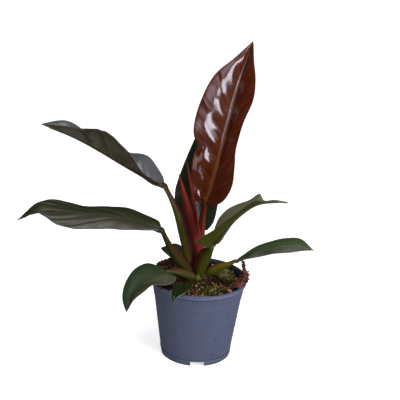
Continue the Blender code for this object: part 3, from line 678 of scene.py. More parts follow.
def makeStalkMaterial(name, look, mirror=False, tipFrom=0.85):
    # a green or red skin with a flank of the other colour, lengthwise lines and fine pores
    rough = look.get("roughness", 0.45)
    material, tree, skin = newMaterial(name, rough, 0.18)
    place = ownMap(tree, "stalkMap")
    across, share, _ = partsOf(tree, place)
    if mirror:
        across = oneMinus(tree, across)
    spots = mottle(tree, 70.0)
    line = noiseOf(tree, stretched(tree, place, (14.0, 1.5, 1.0)), 1.0)
    border = calc(tree, "MULTIPLY_ADD", spots["Broad"], 0.16, 0.40)
    flank = ramp(tree, across, border, calc(tree, "ADD", border, 0.28))
    colour = laidOver(tree, mixColour(tree, flank, look["body"], look["flank"]), [
        (ramp(tree, share, tipFrom, tipFrom + 0.12), 1.0, look["tip"]),
        (ramp(tree, line, 0.35, 0.75), 0.35, look["flank"]),
        (ramp(tree, share, 0.10, 0.0), 0.55, earthyFoot)])
    rough = ramp(tree, spots["Fine"], 0.3, 0.7, rough * 0.8, rough * 1.3)
    height = calc(tree, "MULTIPLY_ADD", line, 0.8, times(tree, spots["Fine"], 0.15))
    dress(tree, skin, colour, rough, height, 0.5, 0.0006)
    return material


def buildStalk(name, stalk, finish, sides=24, rings=70):
    # an oval rod swept along its path; curl bends its two edges back, as on a sheath
    route = stalk["path"]
    face = Vector(stalk.get("face", (0, -1, 0)))
    rod = bmesh.new()
    bmesh.ops.create_cone(rod, cap_ends=True, segments=sides, radius1=1.0, radius2=1.0, depth=1.0)
    for ring in range(1, rings):
        bmesh.ops.bisect_plane(rod, geom=rod.verts[:] + rod.edges[:] + rod.faces[:],
                               plane_co=(0, 0, ring / rings - 0.5), plane_no=(0, 0, 1), dist=0.0001)
    layMap(rod, "stalkMap", lambda co: ((co.x + 1) / 2, co.z + 0.5))
    for point in rod.verts:
        share = point.co.z + 0.5
        x, y, z, wide, thick = along(route, share)
        heading = Vector((along(route, share + 0.02) - along(route, share - 0.02))[:3]).normalized()
        across = heading.cross(face).normalized()
        front = heading.cross(across)
        bend = stalk["curl"] * thick * (point.co.x ** 2 - 0.3) * (1 - smooth(share, 0.55, 0.9))
        wobble = 1.0 + 0.05 * noise.noise(Vector((x, y, z)) * 0.08)
        point.co = (crown + Vector((x, y, z)) + across * (point.co.x * wide * wobble)
                    + front * (point.co.y * thick * wobble + bend))
    makePiece(name, rod, [finish], [name], 60.0)


# thin edges of the leaf sheaths that stand off the stalks: inner and outer line, from the crown
wings = {
    "wing_mid_left": {
        "inner": [(-8.0, -8, 6.5), (-13.9, -10, 14), (-20.4, -13, 23.1), (-26.9, -17, 34), (-32, -21, 43.5),
                  (-35.8, -25, 51)],
        "outer": [(-6.2, -8, 6.6), (-11.8, -9.3, 17.0), (-18.0, -12.0, 26.2), (-25.0, -16.3, 38.2),
                  (-31.1, -20.3, 46.2), (-35.5, -24.3, 51.8)],
        "body": (0.014, 0.0042, 0.0016), "flank": (0.046, 0.011, 0.005), "tip": (0.030, 0.008, 0.003),
    },
    "wing_lower_left": {
        "inner": [(-5.2, -13, 2.8), (-14.1, -16, 9.2), (-22.9, -21, 14.6), (-30.9, -24, 16.7),
                  (-35.1, -27, 17.1)],
        "outer": [(-5.0, -12, 5.4), (-14.4, -14, 12.4), (-23.5, -19, 17.2), (-31.1, -23, 18.9),
                  (-36, -26, 18.6)],
        "body": (0.026, 0.016, 0.002), "flank": (0.038, 0.011, 0.005), "tip": (0.03, 0.010, 0.004),
    },
    "wing_lower_right": {
        "inner": [(8.3, -6, 2.4), (12.7, -8, 6.3), (18.8, -9, 10.5), (27.2, -10, 16.2), (34.5, -9, 20.9)],
        "outer": [(7.5, -5, 9.2), (12.3, -6, 13.2), (18.1, -8, 17.5), (27, -9, 22), (33.8, -9, 23.1)],
        "body": (0.062, 0.040, 0.0016), "flank": (0.125, 0.060, 0.006), "tip": (0.12, 0.065, 0.004),
    },
}
wingShape = {"cells": (50, 10), "thickness": 0.6, "bulge": 0.8}
wingEdge = {"body": (0.30, 0.18, 0.12), "flank": (0.36, 0.24, 0.17), "tip": (0.20, 0.10, 0.05),
            "roughness": 0.5}


def buildWing(name, wing):
    # a thin strip between its two lines, a little hollow, with a dry pale edge
    sheet = bmesh.new()
    bmesh.ops.create_grid(sheet, x_segments=wingShape["cells"][0], y_segments=wingShape["cells"][1], size=1.0)
    layMap(sheet, "stalkMap", lambda co: ((co.y + 1) / 2, (co.x + 1) / 2))
    for point in sheet.verts:
        share, out = (point.co.x + 1) / 2, (point.co.y + 1) / 2
        inner, outer = along(wing["inner"], share), along(wing["outer"], share)
        bulge = math.sin(math.pi * out) * wingShape["bulge"]
        point.co = crown + inner.lerp(outer, out) + Vector((0, -bulge, 0))
    finishes = [makeStalkMaterial(f"skin_{name}", wing), makeStalkMaterial(f"edge_{name}", wingEdge)]
    piece = makePiece(name, sheet, finishes, (), 80.0)
    thicken(piece, wingShape["thickness"], 0.0, 0, 1)


ribShares = (0.015, 0.06, 0.14, 0.26, 0.42, 0.60, 0.78, 0.93)


def withRib(leaf, path):
    # lets a stalk run on under its blade as the midrib
    wide, thick = path[-1][3], path[-1][4]
    longer = list(path)
    for share in ribShares:
        thin = (1 - share / (ribShares[-1] + 0.05)) ** 0.8
        half = 0.25 + 0.9 * wide * thin * (0.85 if share > 0.05 else 1.0)
        place = along(leaf["mid"], share) - surfaceUp(leaf, share) * (0.45 + half * 0.55)
        longer.append((*place, half, 0.2 + 0.8 * thick * thin))
    return longer


for stalkName, stalk in stalks.items():
    own = dict(stalk, path=withRib(leaves[stalkName], stalk["path"]))
    bladeFoot = (len(stalk["path"]) - 1) / (len(own["path"]) - 1)
    skin = makeStalkMaterial(f"skin_{stalkName}", stalkLooks[stalk["look"]], stalk.get("mirror", False),
                             bladeFoot - 0.05)
    buildStalk(f"stalk_{stalkName}", own, skin, rings=110)
for spearName, spear in spears.items():
    buildStalk(spearName, spear, makeStalkMaterial(f"skin_{spearName}", stalkLooks["spear"]))
for wingName, wing in wings.items():
    buildWing(wingName, wing)
print("stalks, shoots and sheaths built")


# gap to the pot, height of the waves and of the clods, and the bank round the stem
soilSizes = {"gap": 0.3, "wave": 1.2, "stem": 17.0, "roughness": 1.5, "clod": 0.16, "bank": 1.3,
             "bankReach": 19.0, "sides": 72, "cuts": 22}


def innerRadius(height):
    floorTop = potSizes["floor"] + potSizes["floorThick"]
    foot = potSizes["base"] - potSizes["footWall"]
    mouth = potSizes["rim"] - potSizes["overhang"] - potSizes["wall"]
    return foot + (mouth - foot) * (height - floorTop) / (potSizes["height"] - floorTop)


soilLevel = crown.z - potAxis.z
soilEdge = innerRadius(soilLevel) - soilSizes["gap"]
stemPlace = crown - potAxis


def soilTop(x, y):
    # height of the uneven soil over a place given from the pot's axis
    toWall = max(0.0, 1.0 - (math.hypot(x, y) / soilEdge) ** 6)
    fromStem = math.hypot(x - stemPlace.x, y - stemPlace.y) / soilSizes["stem"] - 1.0
    wave = math.sin(x / 9.0 + 0.6) * math.cos(y / 11.0)
    return soilLevel + soilSizes["wave"] * wave * toWall * min(1.0, max(0.0, fromStem))


def roughTop(x, y):
    # the same ground with its clods, banked up a little round the stem
    clod = noise.fractal(Vector((x, y, 0)) * soilSizes["clod"], 0.6, 2.2, 4)
    bank = math.exp(-((math.hypot(x - stemPlace.x, y - stemPlace.y) / soilSizes["bankReach"]) ** 4))
    return soilTop(x, y) + soilSizes["roughness"] * clod + soilSizes["bank"] * bank


def onSoil(x, y, rise=0.0):
    return potAxis + Vector((x, y, roughTop(x, y) + rise))


def makeGrainMaterial(name, dark, light, accent):
    # for soil, moss and bark: each grain has its own tint between three colours
    material, tree, skin = newMaterial(name, 0.9, 0.25)
    tint = addNode(tree, "ShaderNodeAttribute", attribute_name="tint").outputs["Fac"]
    spots = mottle(tree, 420.0)
    colour = laidOver(tree, mixColour(tree, ramp(tree, tint, 0.0, 0.75), dark, light), [
        (ramp(tree, tint, 0.80, 1.0), 1.0, accent), (ramp(tree, spots["Broad"], 0.2, 0.8), 0.5, dark)])
    dress(tree, skin, colour, ramp(tree, spots["Fine"], 0.3, 0.7, 0.765, 1.0), spots["Fine"], 0.6, 0.0006)
    return material


# dark, light and accent colour of each
soilLook = makeGrainMaterial("peat", (0.004, 0.002, 0.0012), (0.030, 0.016, 0.006), (0.08, 0.045, 0.018))
crumbLook = makeGrainMaterial("crumbs", (0.006, 0.003, 0.0015), (0.095, 0.040, 0.010), (0.42, 0.24, 0.08))
paleLook = makeGrainMaterial("pale_grit", (0.42, 0.38, 0.33), (0.62, 0.60, 0.56), (0.72, 0.70, 0.68))
mossLook = makeGrainMaterial("moss", (0.016, 0.018, 0.0020), (0.240, 0.215, 0.040), (0.70, 0.62, 0.28))
barkLook = makeGrainMaterial("bark", (0.030, 0.008, 0.004), (0.150, 0.046, 0.024), (0.38, 0.19, 0.13))


def buildSoil():
    ground = bmesh.new()
    bmesh.ops.create_circle(ground, cap_ends=True, cap_tris=True, segments=soilSizes["sides"],
                            radius=soilEdge)
    bmesh.ops.subdivide_edges(ground, edges=ground.edges[:], cuts=soilSizes["cuts"], use_grid_fill=True)
    rim = [edge for edge in ground.edges if edge.is_boundary]
    below = bmesh.ops.extrude_edge_only(ground, edges=rim)["geom"]
    skirt = [item for item in below if isinstance(item, bmesh.types.BMVert)]
    base = potSizes["floor"] + potSizes["floorThick"] + soilSizes["gap"]
    foot = (innerRadius(base) - soilSizes["gap"]) / soilEdge
    for point in ground.verts:
        point.co.z = roughTop(point.co.x, point.co.y)
    for point in skirt:
        point.co = (point.co.x * foot, point.co.y * foot, base)
    bmesh.ops.contextual_create(ground, geom=[edge for edge in ground.edges if edge.is_boundary])
    tint = ground.verts.layers.float.new("tint")
    for point in ground.verts:
        point[tint] = 0.5 + 0.6 * noise.noise(point.co * 0.35)
    bmesh.ops.recalc_face_normals(ground, faces=ground.faces)
    bmesh.ops.translate(ground, vec=potAxis, verts=ground.verts)
    makePiece("soil", ground, [soilLook], ["soil"], 80.0)


def scatter(name, seed, count, makeGrain, finish, nodes=()):
    # joins many small grains into one piece, each with its own tint
    chance = random.Random(seed)
    heap = bmesh.new()
    tint = heap.verts.layers.float.new("tint")
    for _ in range(count):
        fresh, shade = makeGrain(heap, chance)
        for point in fresh:
            point[tint] = shade
    makePiece(name, heap, [finish], nodes, 40.0)


def anywhereOnSoil(chance):
    while True:
        x, y = chance.uniform(-soilEdge, soilEdge), chance.uniform(-soilEdge, soilEdge)
        if math.hypot(x, y) < soilEdge - 0.8:
            return x, y


def spun(chance, axis):
    return Matrix.Rotation(chance.uniform(0, math.tau), 4, axis)


def turnedAtRandom(chance):
    angle = chance.uniform(0, math.tau)
    return Matrix.Rotation(angle, 4, Vector([chance.gauss(0, 1) for _ in range(3)]).normalized())


def press(heap, mould, matrix):
    # puts one copy of a small mesh in the heap and returns its points
    before = len(heap.verts)
    heap.from_mesh(mould)
    heap.verts.ensure_lookup_table()
    fresh = heap.verts[before:]
    for point in fresh:
        point.co = matrix @ point.co
    return fresh


def makeCrumbMould():
    ball = bmesh.new()
    bmesh.ops.create_icosphere(ball, subdivisions=1, radius=1.0)
    return meshOf("crumb_mould", ball, 1.0)


def makeSliverMould():
    # a bar cut in four along its length
    bar = bmesh.new()
    bmesh.ops.create_cube(bar, size=1.0)
    for cut in (-0.25, 0.0, 0.25):
        bmesh.ops.bisect_plane(bar, geom=bar.verts[:] + bar.edges[:] + bar.faces[:],
                               plane_co=(cut, 0, 0), plane_no=(1, 0, 0), dist=0.0001)
    return meshOf("sliver_mould", bar, 1.0)


def makeSprigMould(seed):
    # five pointed moss leaves that lean out from one place
    chance = random.Random(seed)
    tuft = bmesh.new()
    for _ in range(5):
        size = chance.uniform(1.4, 3.4)
        lean = spun(chance, "Z") @ Matrix.Rotation(chance.uniform(0.2, 1.4), 4, "Y")
        blade = Matrix.Diagonal((0.50, 0.20, 1, 1)) @ Matrix.Translation((0, 0, size / 2))
        bmesh.ops.create_cone(tuft, cap_ends=True, segments=4, radius1=1.0, radius2=0.25,
                              depth=size, matrix=lean @ blade)
    return meshOf("sprig_mould", tuft, 1.0)


crumbMould = makeCrumbMould()
sliverMould = makeSliverMould()
sprigMoulds = [makeSprigMould(seed) for seed in (2, 7, 19, 41)]


def crumb(heap, chance, sizes, x, y, rise):
    size = chance.uniform(*sizes) * chance.uniform(0.6, 1.0)
    shape = Matrix.Diagonal((size, size * chance.uniform(0.5, 1.0), size * chance.uniform(0.4, 0.8), 1))
    spot = Matrix.Translation(onSoil(x, y, size * rise))
    fresh = press(heap, crumbMould, spot @ turnedAtRandom(chance) @ shape)
    for point in fresh:
        point.co += Vector([chance.uniform(-0.18, 0.18) * size for _ in range(3)])
    return fresh, chance.random()


def sliver(heap, chance, place, length, width, thick, lean):
    # a splinter or shred: the bar pinched at its ends, bent and roughened
    fresh = press(heap, sliverMould, Matrix())
    bend = chance.uniform(-0.25, 0.25)
    for point in fresh:
        reach = abs(point.co.x) * 2
        pinch = 1.0 - 0.75 * smooth(reach, 0.2, 1.0)
        point.co.y = point.co.y * pinch + chance.uniform(-0.12, 0.12)
        point.co.z = point.co.z * pinch + bend * reach ** 2 * length / thick * 0.3
    heading = spun(chance, "Z") @ Matrix.Rotation(-lean, 4, "Y") @ spun(chance, "X")
    size = Matrix.Diagonal((length, width, thick, 1))
    bmesh.ops.transform(heap, verts=fresh, matrix=Matrix.Translation(place) @ heading @ size)
    return fresh, chance.random()


def twig(heap, chance):
    x, y = anywhereOnSoil(chance)
    return sliver(heap, chance, onSoil(x, y, 0.6), chance.uniform(3, 9), chance.uniform(0.4, 1.0),
                  chance.uniform(0.4, 0.8), chance.uniform(-0.2, 0.35))


def perlite(heap, chance):
    return crumb(heap, chance, (0.7, 1.5), *anywhereOnSoil(chance), 0.4)


def clod(heap, chance):
    # paler towards the front, dark at the back
    x, y = anywhereOnSoil(chance)
    fresh, shade = crumb(heap, chance, (0.9, 2.6), x, y, 0.15)
    front = smooth(-y + 0.35 * x, -10.0, 30.0)
    return fresh, min(1.0, shade ** (1.5 - 0.9 * front) * (0.8 + 0.35 * front))


buildSoil()
# what lies loose on the soil: seed, count, how one is made, and its material
looseBits = {
    "soil_crumbs": (11, 1900, clod, crumbLook), "perlite_bits": (5, 18, perlite, paleLook),
    "twigs": (23, 110, twig, crumbLook),
}
for bitName, (seed, count, makeBit, finish) in looseBits.items():
    scatter(bitName, seed, count, makeBit, finish)

# each bed: its direction from the pot's middle, its distance from the wall, and its size
mossBeds = {
    "moss_right": {"degrees": 31, "inset": 5.0, "out": 10.5, "round": 15.0, "height": 4.6, "count": 360,
                   "seed": 3, "darker": -0.20},
    "moss_front": {"degrees": -59, "inset": 6.0, "out": 15.0, "round": 19.0, "height": 2.4, "count": 110,
                   "seed": 8, "darker": 0.22},
}


def buildMoss(name, bed):
    turn = math.radians(bed["degrees"])
    outwards = Vector((math.cos(turn), math.sin(turn)))
    sideways = Vector((-outwards.y, outwards.x))
    middle = outwards * (soilEdge + soilSizes["gap"] - bed["inset"] - bed["out"])

    def sprig(heap, chance):
        far, way = math.sqrt(chance.random()), chance.uniform(0, math.tau)
        place = middle + outwards * (far * math.cos(way) * bed["out"])
        place = place + sideways * (far * math.sin(way) * bed["round"])
        rise = bed["height"] * (1 - far ** 2) * chance.uniform(0.3, 1.0)
        spot = Matrix.Translation(onSoil(place.x, place.y, rise * 0.7)) @ spun(chance, "Z")
        fresh = press(heap, chance.choice(sprigMoulds), spot @ Matrix.Scale(chance.uniform(0.7, 1.6), 4))
        shade = 0.36 - bed["darker"] + rise / bed["height"] * 0.5 + chance.gauss(0, 0.30)
        return fresh, min(1.0, max(0.0, shade))

    scatter(name, bed["seed"], bed["count"], sprig, mossLook, [name])


for bedName, bed in mossBeds.items():
    buildMoss(bedName, bed)


# chips that the heap is dense between, counted from 0 with the mound as 6; from 4 on it is slender
barkHeap = {
    "pairs": [(3, 3), (3, 0), (3, 0), (3, 0), (6, 3), (6, 3), (6, 3), (6, 0), (6, 0),
              (0, 1), (0, 1), (0, 4), (0, 4), (1, 4), (4, 5), (4, 5)],
    "slender": 0.7, "spread": 0.28, "count": 460, "seed": 31, "lipChip": (-44, 6.0, -0.6),
}
# the peat on the rim at the back left: degrees, inset and rise over the lip
backBark = {"degrees": (122, 153), "inset": (-0.5, 7.0), "rise": (-1.0, 1.8), "slabShare": 0.25,
            "count": 170, "seed": 17}


def buildBarkHeap():
    # loose shreds heaped at the right of the rim, some standing up over it
    chipNames = [f"bark_chip_{number}" for number in range(1, 7)] + ["bark_mound"]
    spots = [cadPlace(name) for name in chipNames]

    def shred(heap, chance):
        if not heap.verts:
            # one pale flat chip lies across the lip
            return sliver(heap, chance, overRim(*barkHeap["lipChip"]), 8.0, 3.4, 0.8, 0.08)[0], 0.97
        pair = chance.choice(barkHeap["pairs"])
        one, other = (spots[number] for number in pair)
        slender = barkHeap["slender"] if 4 in pair or 5 in pair else 1.0
        share = chance.random()
        place = Vector()
        for axis in range(3):
            reach = (one[2][axis] - one[1][axis]) * (1 - share) + (other[2][axis] - other[1][axis]) * share
            stray = reach * chance.uniform(-barkHeap["spread"], barkHeap["spread"]) * slender ** 2
            place[axis] = one[0][axis] * (1 - share) + other[0][axis] * share + stray
        return sliver(heap, chance, place, chance.uniform(3, 8) * slender, chance.uniform(1.2, 3.4) * slender,
                      chance.uniform(0.8, 1.8) * slender, chance.gauss(0.1, 0.4))

    scatter("bark_pile", barkHeap["seed"], barkHeap["count"], shred, barkLook, chipNames)


def buildBackBark():
    # a slab at the back left, with peat that lies on the rim beside it
    middle = cadPlace("bark_slab_back")[0]

    def bit(heap, chance):
        if chance.random() < backBark["slabShare"]:
            place = middle + Vector((chance.uniform(-9, 9), chance.uniform(-8, 8), chance.uniform(-2.5, 2.0)))
            return sliver(heap, chance, place, chance.uniform(8, 18), chance.uniform(2, 5),
                          chance.uniform(0.8, 1.6), chance.uniform(-0.1, 0.3))
        place = overRim(*(chance.uniform(*backBark[part]) for part in ("degrees", "inset", "rise")))
        fresh, _ = sliver(heap, chance, place, chance.uniform(3, 7), chance.uniform(1.5, 3.5),
                          chance.uniform(0.8, 1.6), chance.gauss(0.0, 0.2))
        return fresh, chance.random() * 0.35

    scatter("bark_slab_back", backBark["seed"], backBark["count"], bit, barkLook, ["bark_slab_back"])


buildBarkHeap()
buildBackBark()
print("soil, moss and bark laid")


stem = {
    "path": [(0, 0, -36, 5, 5), (0, 0, -20, 7.5, 7.5), (0, 0, -8, 12, 11.5), (0, -1, -1, 13.5, 12.5),
             (0, 0, 1.0, 11, 10), (0, 2, 2.6, 5, 4)],
    "curl": 0.0, "body": (0.070, 0.085, 0.012), "flank": (0.110, 0.040, 0.018), "tip": (0.05, 0.05, 0.015),
    "roughness": 0.5,
}
bud = {
    "path": [(-1.6, -15.0, -0.5, 2.6, 2.0), (-1.6, -15.4, 2.0, 4.0, 2.9), (-1.4, -15.2, 4.8, 3.4, 2.5),
             (-0.8, -14.8, 7.2, 1.6, 1.3), (-0.4, -14.6, 8.6, 0.3, 0.3)],
    "curl": 0.2, "body": (0.056, 0.072, 0.003), "flank": (0.070, 0.095, 0.005), "tip": (0.09, 0.11, 0.014),
    "roughness": 0.5,
}
buildStalk("crown_stem", stem, makeStalkMaterial("skin_stem", stem), 32, 40)
buildStalk("crown_bud", bud, makeStalkMaterial("skin_bud", bud), 20, 30)


# from the foot of the small blade back to the soil: offsets, half width and half thickness
smallStalk = [(7, 11, -6.0, 2.0, 2.0), (4.5, 6.5, -2.5, 1.9, 1.8), (2, 3, -0.6, 1.6, 1.4)]


def buildSmallStalk():
    offset = smallStart - crown
    end = offset + along(smallLeaf["mid"], 0.0)
    path = [(end.x + x, end.y + y, end.z + z, wide, thick) for x, y, z, wide, thick in smallStalk]
    # withRib adds the points under the blade, which count from the lip
    rib = [(*(Vector(place[:3]) + (offset if index >= len(path) else Vector())), *place[3:])
           for index, place in enumerate(withRib(smallLeaf, path))]
    skin = makeStalkMaterial("skin_small_front", stalkLooks["green"])
    stalk = {"path": rib, "curl": 0.2, "face": (0, -0.5, 1)}
    buildStalk("stalk_small_front", stalk, skin, 16, 50)


buildSmallStalk()
print("stem and bud built")


# lines round the pot: height, half width, strength and colour. They are painted light: painted shade below
# the lip, at the step and in the groove, painted highlight along the lip's lower edge, just above the step
# and below the groove
potShadeAndHighlightLines = [
    (96.5, 1.2, 0.85, (0.010, 0.012, 0.022)), (98.8, 0.9, 0.50, (0.12, 0.135, 0.19)),
    (82.4, 1.0, 0.16, (0.12, 0.13, 0.19)), (79.3, 0.6, 0.40, (0.022, 0.026, 0.046)),
    (7.5, 0.9, 0.65, (0.018, 0.021, 0.037)), (6.0, 0.5, 0.30, (0.12, 0.13, 0.18)),
]


# inside is the painted shade laid over the inner wall
potLook = {
    "base": (0.041, 0.053, 0.095), "second": (0.049, 0.060, 0.101), "flow": (0.066, 0.073, 0.112),
    "grain": (0.050, 0.058, 0.100), "fleck": (0.050, 0.064, 0.130), "dirt": (0.012, 0.012, 0.018),
    "inside": (0.014, 0.015, 0.022), "roughness": (0.40, 0.56), "mottle": 55.0,
    "flowStretch": (60.0, 60.0, 9.0), "grainSize": 900.0, "dirtSize": 75.0, "dirtFrom": 0.35,
    "dirtReach": (0.11, 0.07),
}


def makePotMaterial(name, inside):
    # matt blue-grey plastic with faint flow marks, flecks and a few specks of dirt, with painted shade and
    # painted highlight lines round it; inside gives the inner wall's copy, darkened with painted shade
    look = potLook
    material, tree, skin = newMaterial(name, 0.45, 0.40, sheen=0.08)
    place = objectPlace(tree)
    spots = mottle(tree, look["mottle"])
    marks = noiseOf(tree, stretched(tree, place, look["flowStretch"]), 1.0)
    grain = noiseOf(tree, place, look["grainSize"], 2.0)
    dirt = addNode(tree, "ShaderNodeTexVoronoi", feature="F1")
    feed(tree, dirt.inputs["Vector"], place)
    dirt.inputs["Scale"].default_value = look["dirtSize"]
    pick = addNode(tree, "ShaderNodeSeparateColor")
    feed(tree, pick.inputs[0], dirt.outputs["Color"])
    few = calc(tree, "GREATER_THAN", pick.outputs[0], look["dirtFrom"])
    speck = times(tree, few, ramp(tree, dirt.outputs["Distance"], *look["dirtReach"]))
    layers = [(ramp(tree, marks, 0.45, 0.8), 0.20, look["flow"]),
              (ramp(tree, grain, 0.35, 0.65), 0.5, look["grain"]),
              (ramp(tree, spots["Fine"], 0.55, 0.8), 0.25, look["fleck"]), (speck, 0.9, look["dirt"])]
    level = partsOf(tree, place)[2]
    # the painted shade and painted highlight lines round the pot
    for height, halfWidth, share, tone in potShadeAndHighlightLines:
        away = calc(tree, "ABSOLUTE", calc(tree, "SUBTRACT", level, height * mm))
        layers.append((ramp(tree, away, halfWidth * mm, halfWidth * mm * 0.4), share, tone))
    # the inner wall's copy: painted shade laid over nearly all of its colour
    if inside:
        layers.append((1.0, 0.85, look["inside"]))
    colour = laidOver(tree, mixColour(tree, spots["Broad"], look["base"], look["second"]), layers)
    rough = ramp(tree, spots["Fine"], 0.3, 0.7, *look["roughness"])
    height = calc(tree, "MULTIPLY_ADD", speck, 1.5, times(tree, spots["Fine"], 0.4))
    dress(tree, skin, colour, rough, height, 0.25, 0.0004)
    return material


def outerRadius(height):
    top = potSizes["rim"] - potSizes["overhang"]
    return potSizes["base"] + (top - potSizes["base"]) * height / (potSizes["height"] - potSizes["lip"])


def buildPot():
    s = potSizes
    lipBase, step = s["height"] - s["lip"], s["height"] - s["stepDrop"]
    grooveTop, grooveLow = s["groove"] + s["grooveWidth"] / 2, s["groove"] - s["grooveWidth"] / 2
    inside, mouth = s["base"] - s["footWall"], s["rim"] - s["overhang"] - s["wall"]
    floorTop = s["floor"] + s["floorThick"]
    # radius, height and the rounding of the corner there
    profile = [
        (0.0, floorTop, 0), (inside, floorTop, 0.8), (mouth - s["mouthTaper"], lipBase, 0),
        (mouth, s["height"] - s["lipSlope"], 0.9), (s["rim"] - s["lipFlat"], s["height"], 0.7),
        (s["rim"], s["height"] - s["lipRound"], 0.9), (s["rim"], lipBase, 0.8),
        (outerRadius(lipBase) + 0.3, lipBase - 0.2, 0.4), (outerRadius(step), step, 0.3),
        (outerRadius(step) - s["stepDepth"], step - s["stepDepth"], 0.2),
        (outerRadius(grooveTop) - s["stepDepth"], grooveTop, 0.25),
        (outerRadius(s["groove"]) - s["grooveDepth"] - s["stepDepth"], s["groove"], 0.2),
        (outerRadius(grooveLow), grooveLow, 0.25), (s["base"], 0.0, 0.6), (inside, 0.0, 0.6),
        (inside, s["floor"], 0), (0.0, s["floor"], 0),
    ]
    pot = bmesh.new()
    points = [pot.verts.new((radius, 0.0, height)) for radius, height, _ in profile]
    edges = [pot.edges.new(pair) for pair in zip(points, points[1:])]
    bmesh.ops.spin(pot, geom=points + edges, axis=(0, 0, 1), cent=(0, 0, 0), angle=math.tau,
                   steps=s["steps"], use_merge=True)
    bmesh.ops.remove_doubles(pot, verts=pot.verts, dist=0.001)
    bmesh.ops.recalc_face_normals(pot, faces=pot.faces)
    for radius, height, rounding in profile:
        if not rounding:
            continue
        ring = [edge for edge in pot.edges if all(
            abs(end.co.z - height) < 0.001 and abs(end.co.xy.length - radius) < 0.001 for end in edge.verts)]
        bmesh.ops.bevel(pot, geom=ring, offset=rounding * 0.6, offset_type="OFFSET", segments=3,
                        profile=0.5, affect="EDGES", material=-1)
    bmesh.ops.translate(pot, vec=potAxis, verts=pot.verts)
    # faces of the inner wall take the second material, the copy with painted shade
    for face in pot.faces:
        outwards = face.calc_center_median() - potAxis
        if floorTop - 1 < outwards.z < s["height"] - 0.8 and face.normal.xy.dot(outwards.xy) < 0:
            face.material_index = 1
    skins = [makePotMaterial("grower_pot", False), makePotMaterial("pot_inside_painted_shade", True)]
    piece = makePiece("pot", pot, skins, ["pot"], 35.0)

    cutters = []
    notchTop = s["floor"] - s["notchClear"]
    reach = 2.5 * s["base"]
    for length, width in ((reach, s["notch"]), (s["notch"], reach)):
        bar = bmesh.new()
        bmesh.ops.create_cube(bar, size=1.0)
        bmesh.ops.scale(bar, vec=(length, width, 2 * notchTop), verts=bar.verts)
        turn = Matrix.Rotation(math.radians(s["notchTurn"]), 3, "Z")
        bmesh.ops.rotate(bar, cent=(0, 0, 0), matrix=turn, verts=bar.verts)
        cutters.append(bar)
    drains = bmesh.new()
    for index in range(s["drains"]):
        turn = math.tau * (index + 0.5) / s["drains"]
        ring = s["drainRing"]
        spot = Matrix.Translation((ring * math.cos(turn), ring * math.sin(turn), s["floor"]))
        bmesh.ops.create_cone(drains, cap_ends=True, segments=32, radius1=s["drain"], radius2=s["drain"],
                              depth=4 * s["floorThick"], matrix=spot)
    cutters.append(drains)
    tools = []
    for shape in cutters:
        bmesh.ops.translate(shape, vec=potAxis, verts=shape.verts)
        tool = bring("cutter", meshOf("cutter", shape))
        tools.append(tool)
        cut = piece.modifiers.new("cut", "BOOLEAN")
        cut.operation, cut.solver, cut.object = "DIFFERENCE", "EXACT", tool
    view = bpy.context.evaluated_depsgraph_get()
    finished = bpy.data.meshes.new_from_object(piece.evaluated_get(view))
    piece.modifiers.clear()
    piece.data = finished
    for tool in tools:
        bpy.data.objects.remove(tool, do_unlink=True)


buildPot()
print("pot built")


studio = {
    "floor": (0.90, 0.90, 0.905), "floorGloss": (0.05, 0.05, 0.052), "floorGlow": 0.55,
    "floorReach": 9000.0, "floorGap": 0.15, "room": (0.97, 0.98, 1.0), "roomStrength": 0.55,
    "roomGloss": 0.03,
    # each light: place from the pot's axis, aim, width, height, power, colour
    "lights": {
        "key": ((900, -850, 430), (0, 0, 230), 520, 620, 13.4, (0.93, 0.92, 1.0)),
        "cardRight": ((380, -590, 125), (0, 0, 310), 290, 80, 1.15, (0.90, 0.88, 1.0)),
        "cardFront": ((40, -700, 120), (0, 0, 260), 110, 150, 0.14, (0.88, 0.82, 1.0)),
        "top": ((120, -420, 1300), (0, 0, 150), 600, 500, 8.0, (1.0, 1.0, 1.0)),
        "left": ((-1100, -500, 650), (0, 0, 200), 250, 700, 1.4, (0.95, 0.97, 1.0)),
    },
}


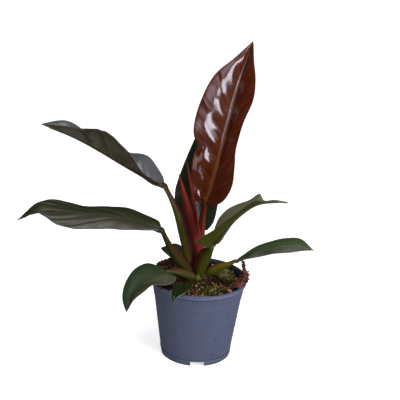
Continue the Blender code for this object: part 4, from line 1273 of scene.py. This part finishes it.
def buildStudio():
    ground = bmesh.new()
    bmesh.ops.create_circle(ground, cap_ends=True, segments=64, radius=studio["floorReach"])
    bmesh.ops.translate(ground, vec=potAxis - Vector((0, 0, studio["floorGap"])), verts=ground.verts)
    mesh = meshOf("floor", ground)
    material, tree, skin = newMaterial("pale_floor", 0.85, 0.1)
    rays = addNode(tree, "ShaderNodeLightPath").outputs
    grain = noiseOf(tree, objectPlace(tree), 3.0)
    pale = mixColour(tree, grain, studio["floor"], tuple(part * 0.985 for part in studio["floor"]))
    feed(tree, skin["Base Color"], mixColour(tree, rays["Is Glossy Ray"], pale, studio["floorGloss"]))
    skin["Emission Color"].default_value = (1.0, 1.0, 1.0, 1.0)
    feed(tree, skin["Emission Strength"], times(tree, rays["Is Camera Ray"], studio["floorGlow"]))
    mesh.materials.append(material)
    floor = bring("floor", mesh)

    for name, (place, aim, width, height, power, colour) in studio["lights"].items():
        light = bpy.data.lights.new(name, "AREA")
        light.shape = "RECTANGLE"
        light.size = width * mm
        light.size_y = height * mm
        light.energy = power
        light.color = colour
        lamp = bring(name, light)
        lamp.location = (potAxis + Vector(place)) * mm
        lamp.rotation_euler = (Vector(aim) - Vector(place)).to_track_quat("-Z", "Y").to_euler()

    room = bpy.data.worlds.new("room")
    room.use_nodes = True
    tree = room.node_tree
    tree.nodes.clear()
    # the room is seen as white paper, lights the plant evenly and is dim in its gloss
    rays = addNode(tree, "ShaderNodeLightPath").outputs
    strength = calc(tree, "MULTIPLY_ADD", rays["Is Glossy Ray"], studio["roomGloss"] - studio["roomStrength"],
                    studio["roomStrength"])
    strength = calc(tree, "MULTIPLY_ADD", rays["Is Camera Ray"], 1.0 - studio["roomStrength"], strength)
    glow = addNode(tree, "ShaderNodeBackground")
    feed(tree, glow.inputs[0], studio["room"])
    feed(tree, glow.inputs[1], strength)
    end = addNode(tree, "ShaderNodeOutputWorld")
    tree.links.new(glow.outputs[0], end.inputs[0])
    stage.world = room
    stage.view_settings.view_transform = "Standard"


cameraPlace = {
    "fromAxis": (0.0, -1160.05, 636.75), "lens": 92.2,
    "right": (0.99878, 0.01959, 0.04543), "up": (-0.04942, 0.34950, 0.93563),
    "forward": (-0.00245, 0.93673, -0.35004),
}


def placeCamera():
    eye = bpy.data.cameras.new("view")
    eye.lens = cameraPlace["lens"]
    eye.clip_end = 50.0
    camera = bring("view", eye)
    turn = Matrix((cameraPlace["right"], cameraPlace["up"], -Vector(cameraPlace["forward"]))).transposed()
    camera.matrix_world = Matrix.Translation((potAxis + Vector(cameraPlace["fromAxis"])) * mm) @ turn.to_4x4()
    stage.camera = camera


buildStudio()
placeCamera()
print("studio set")
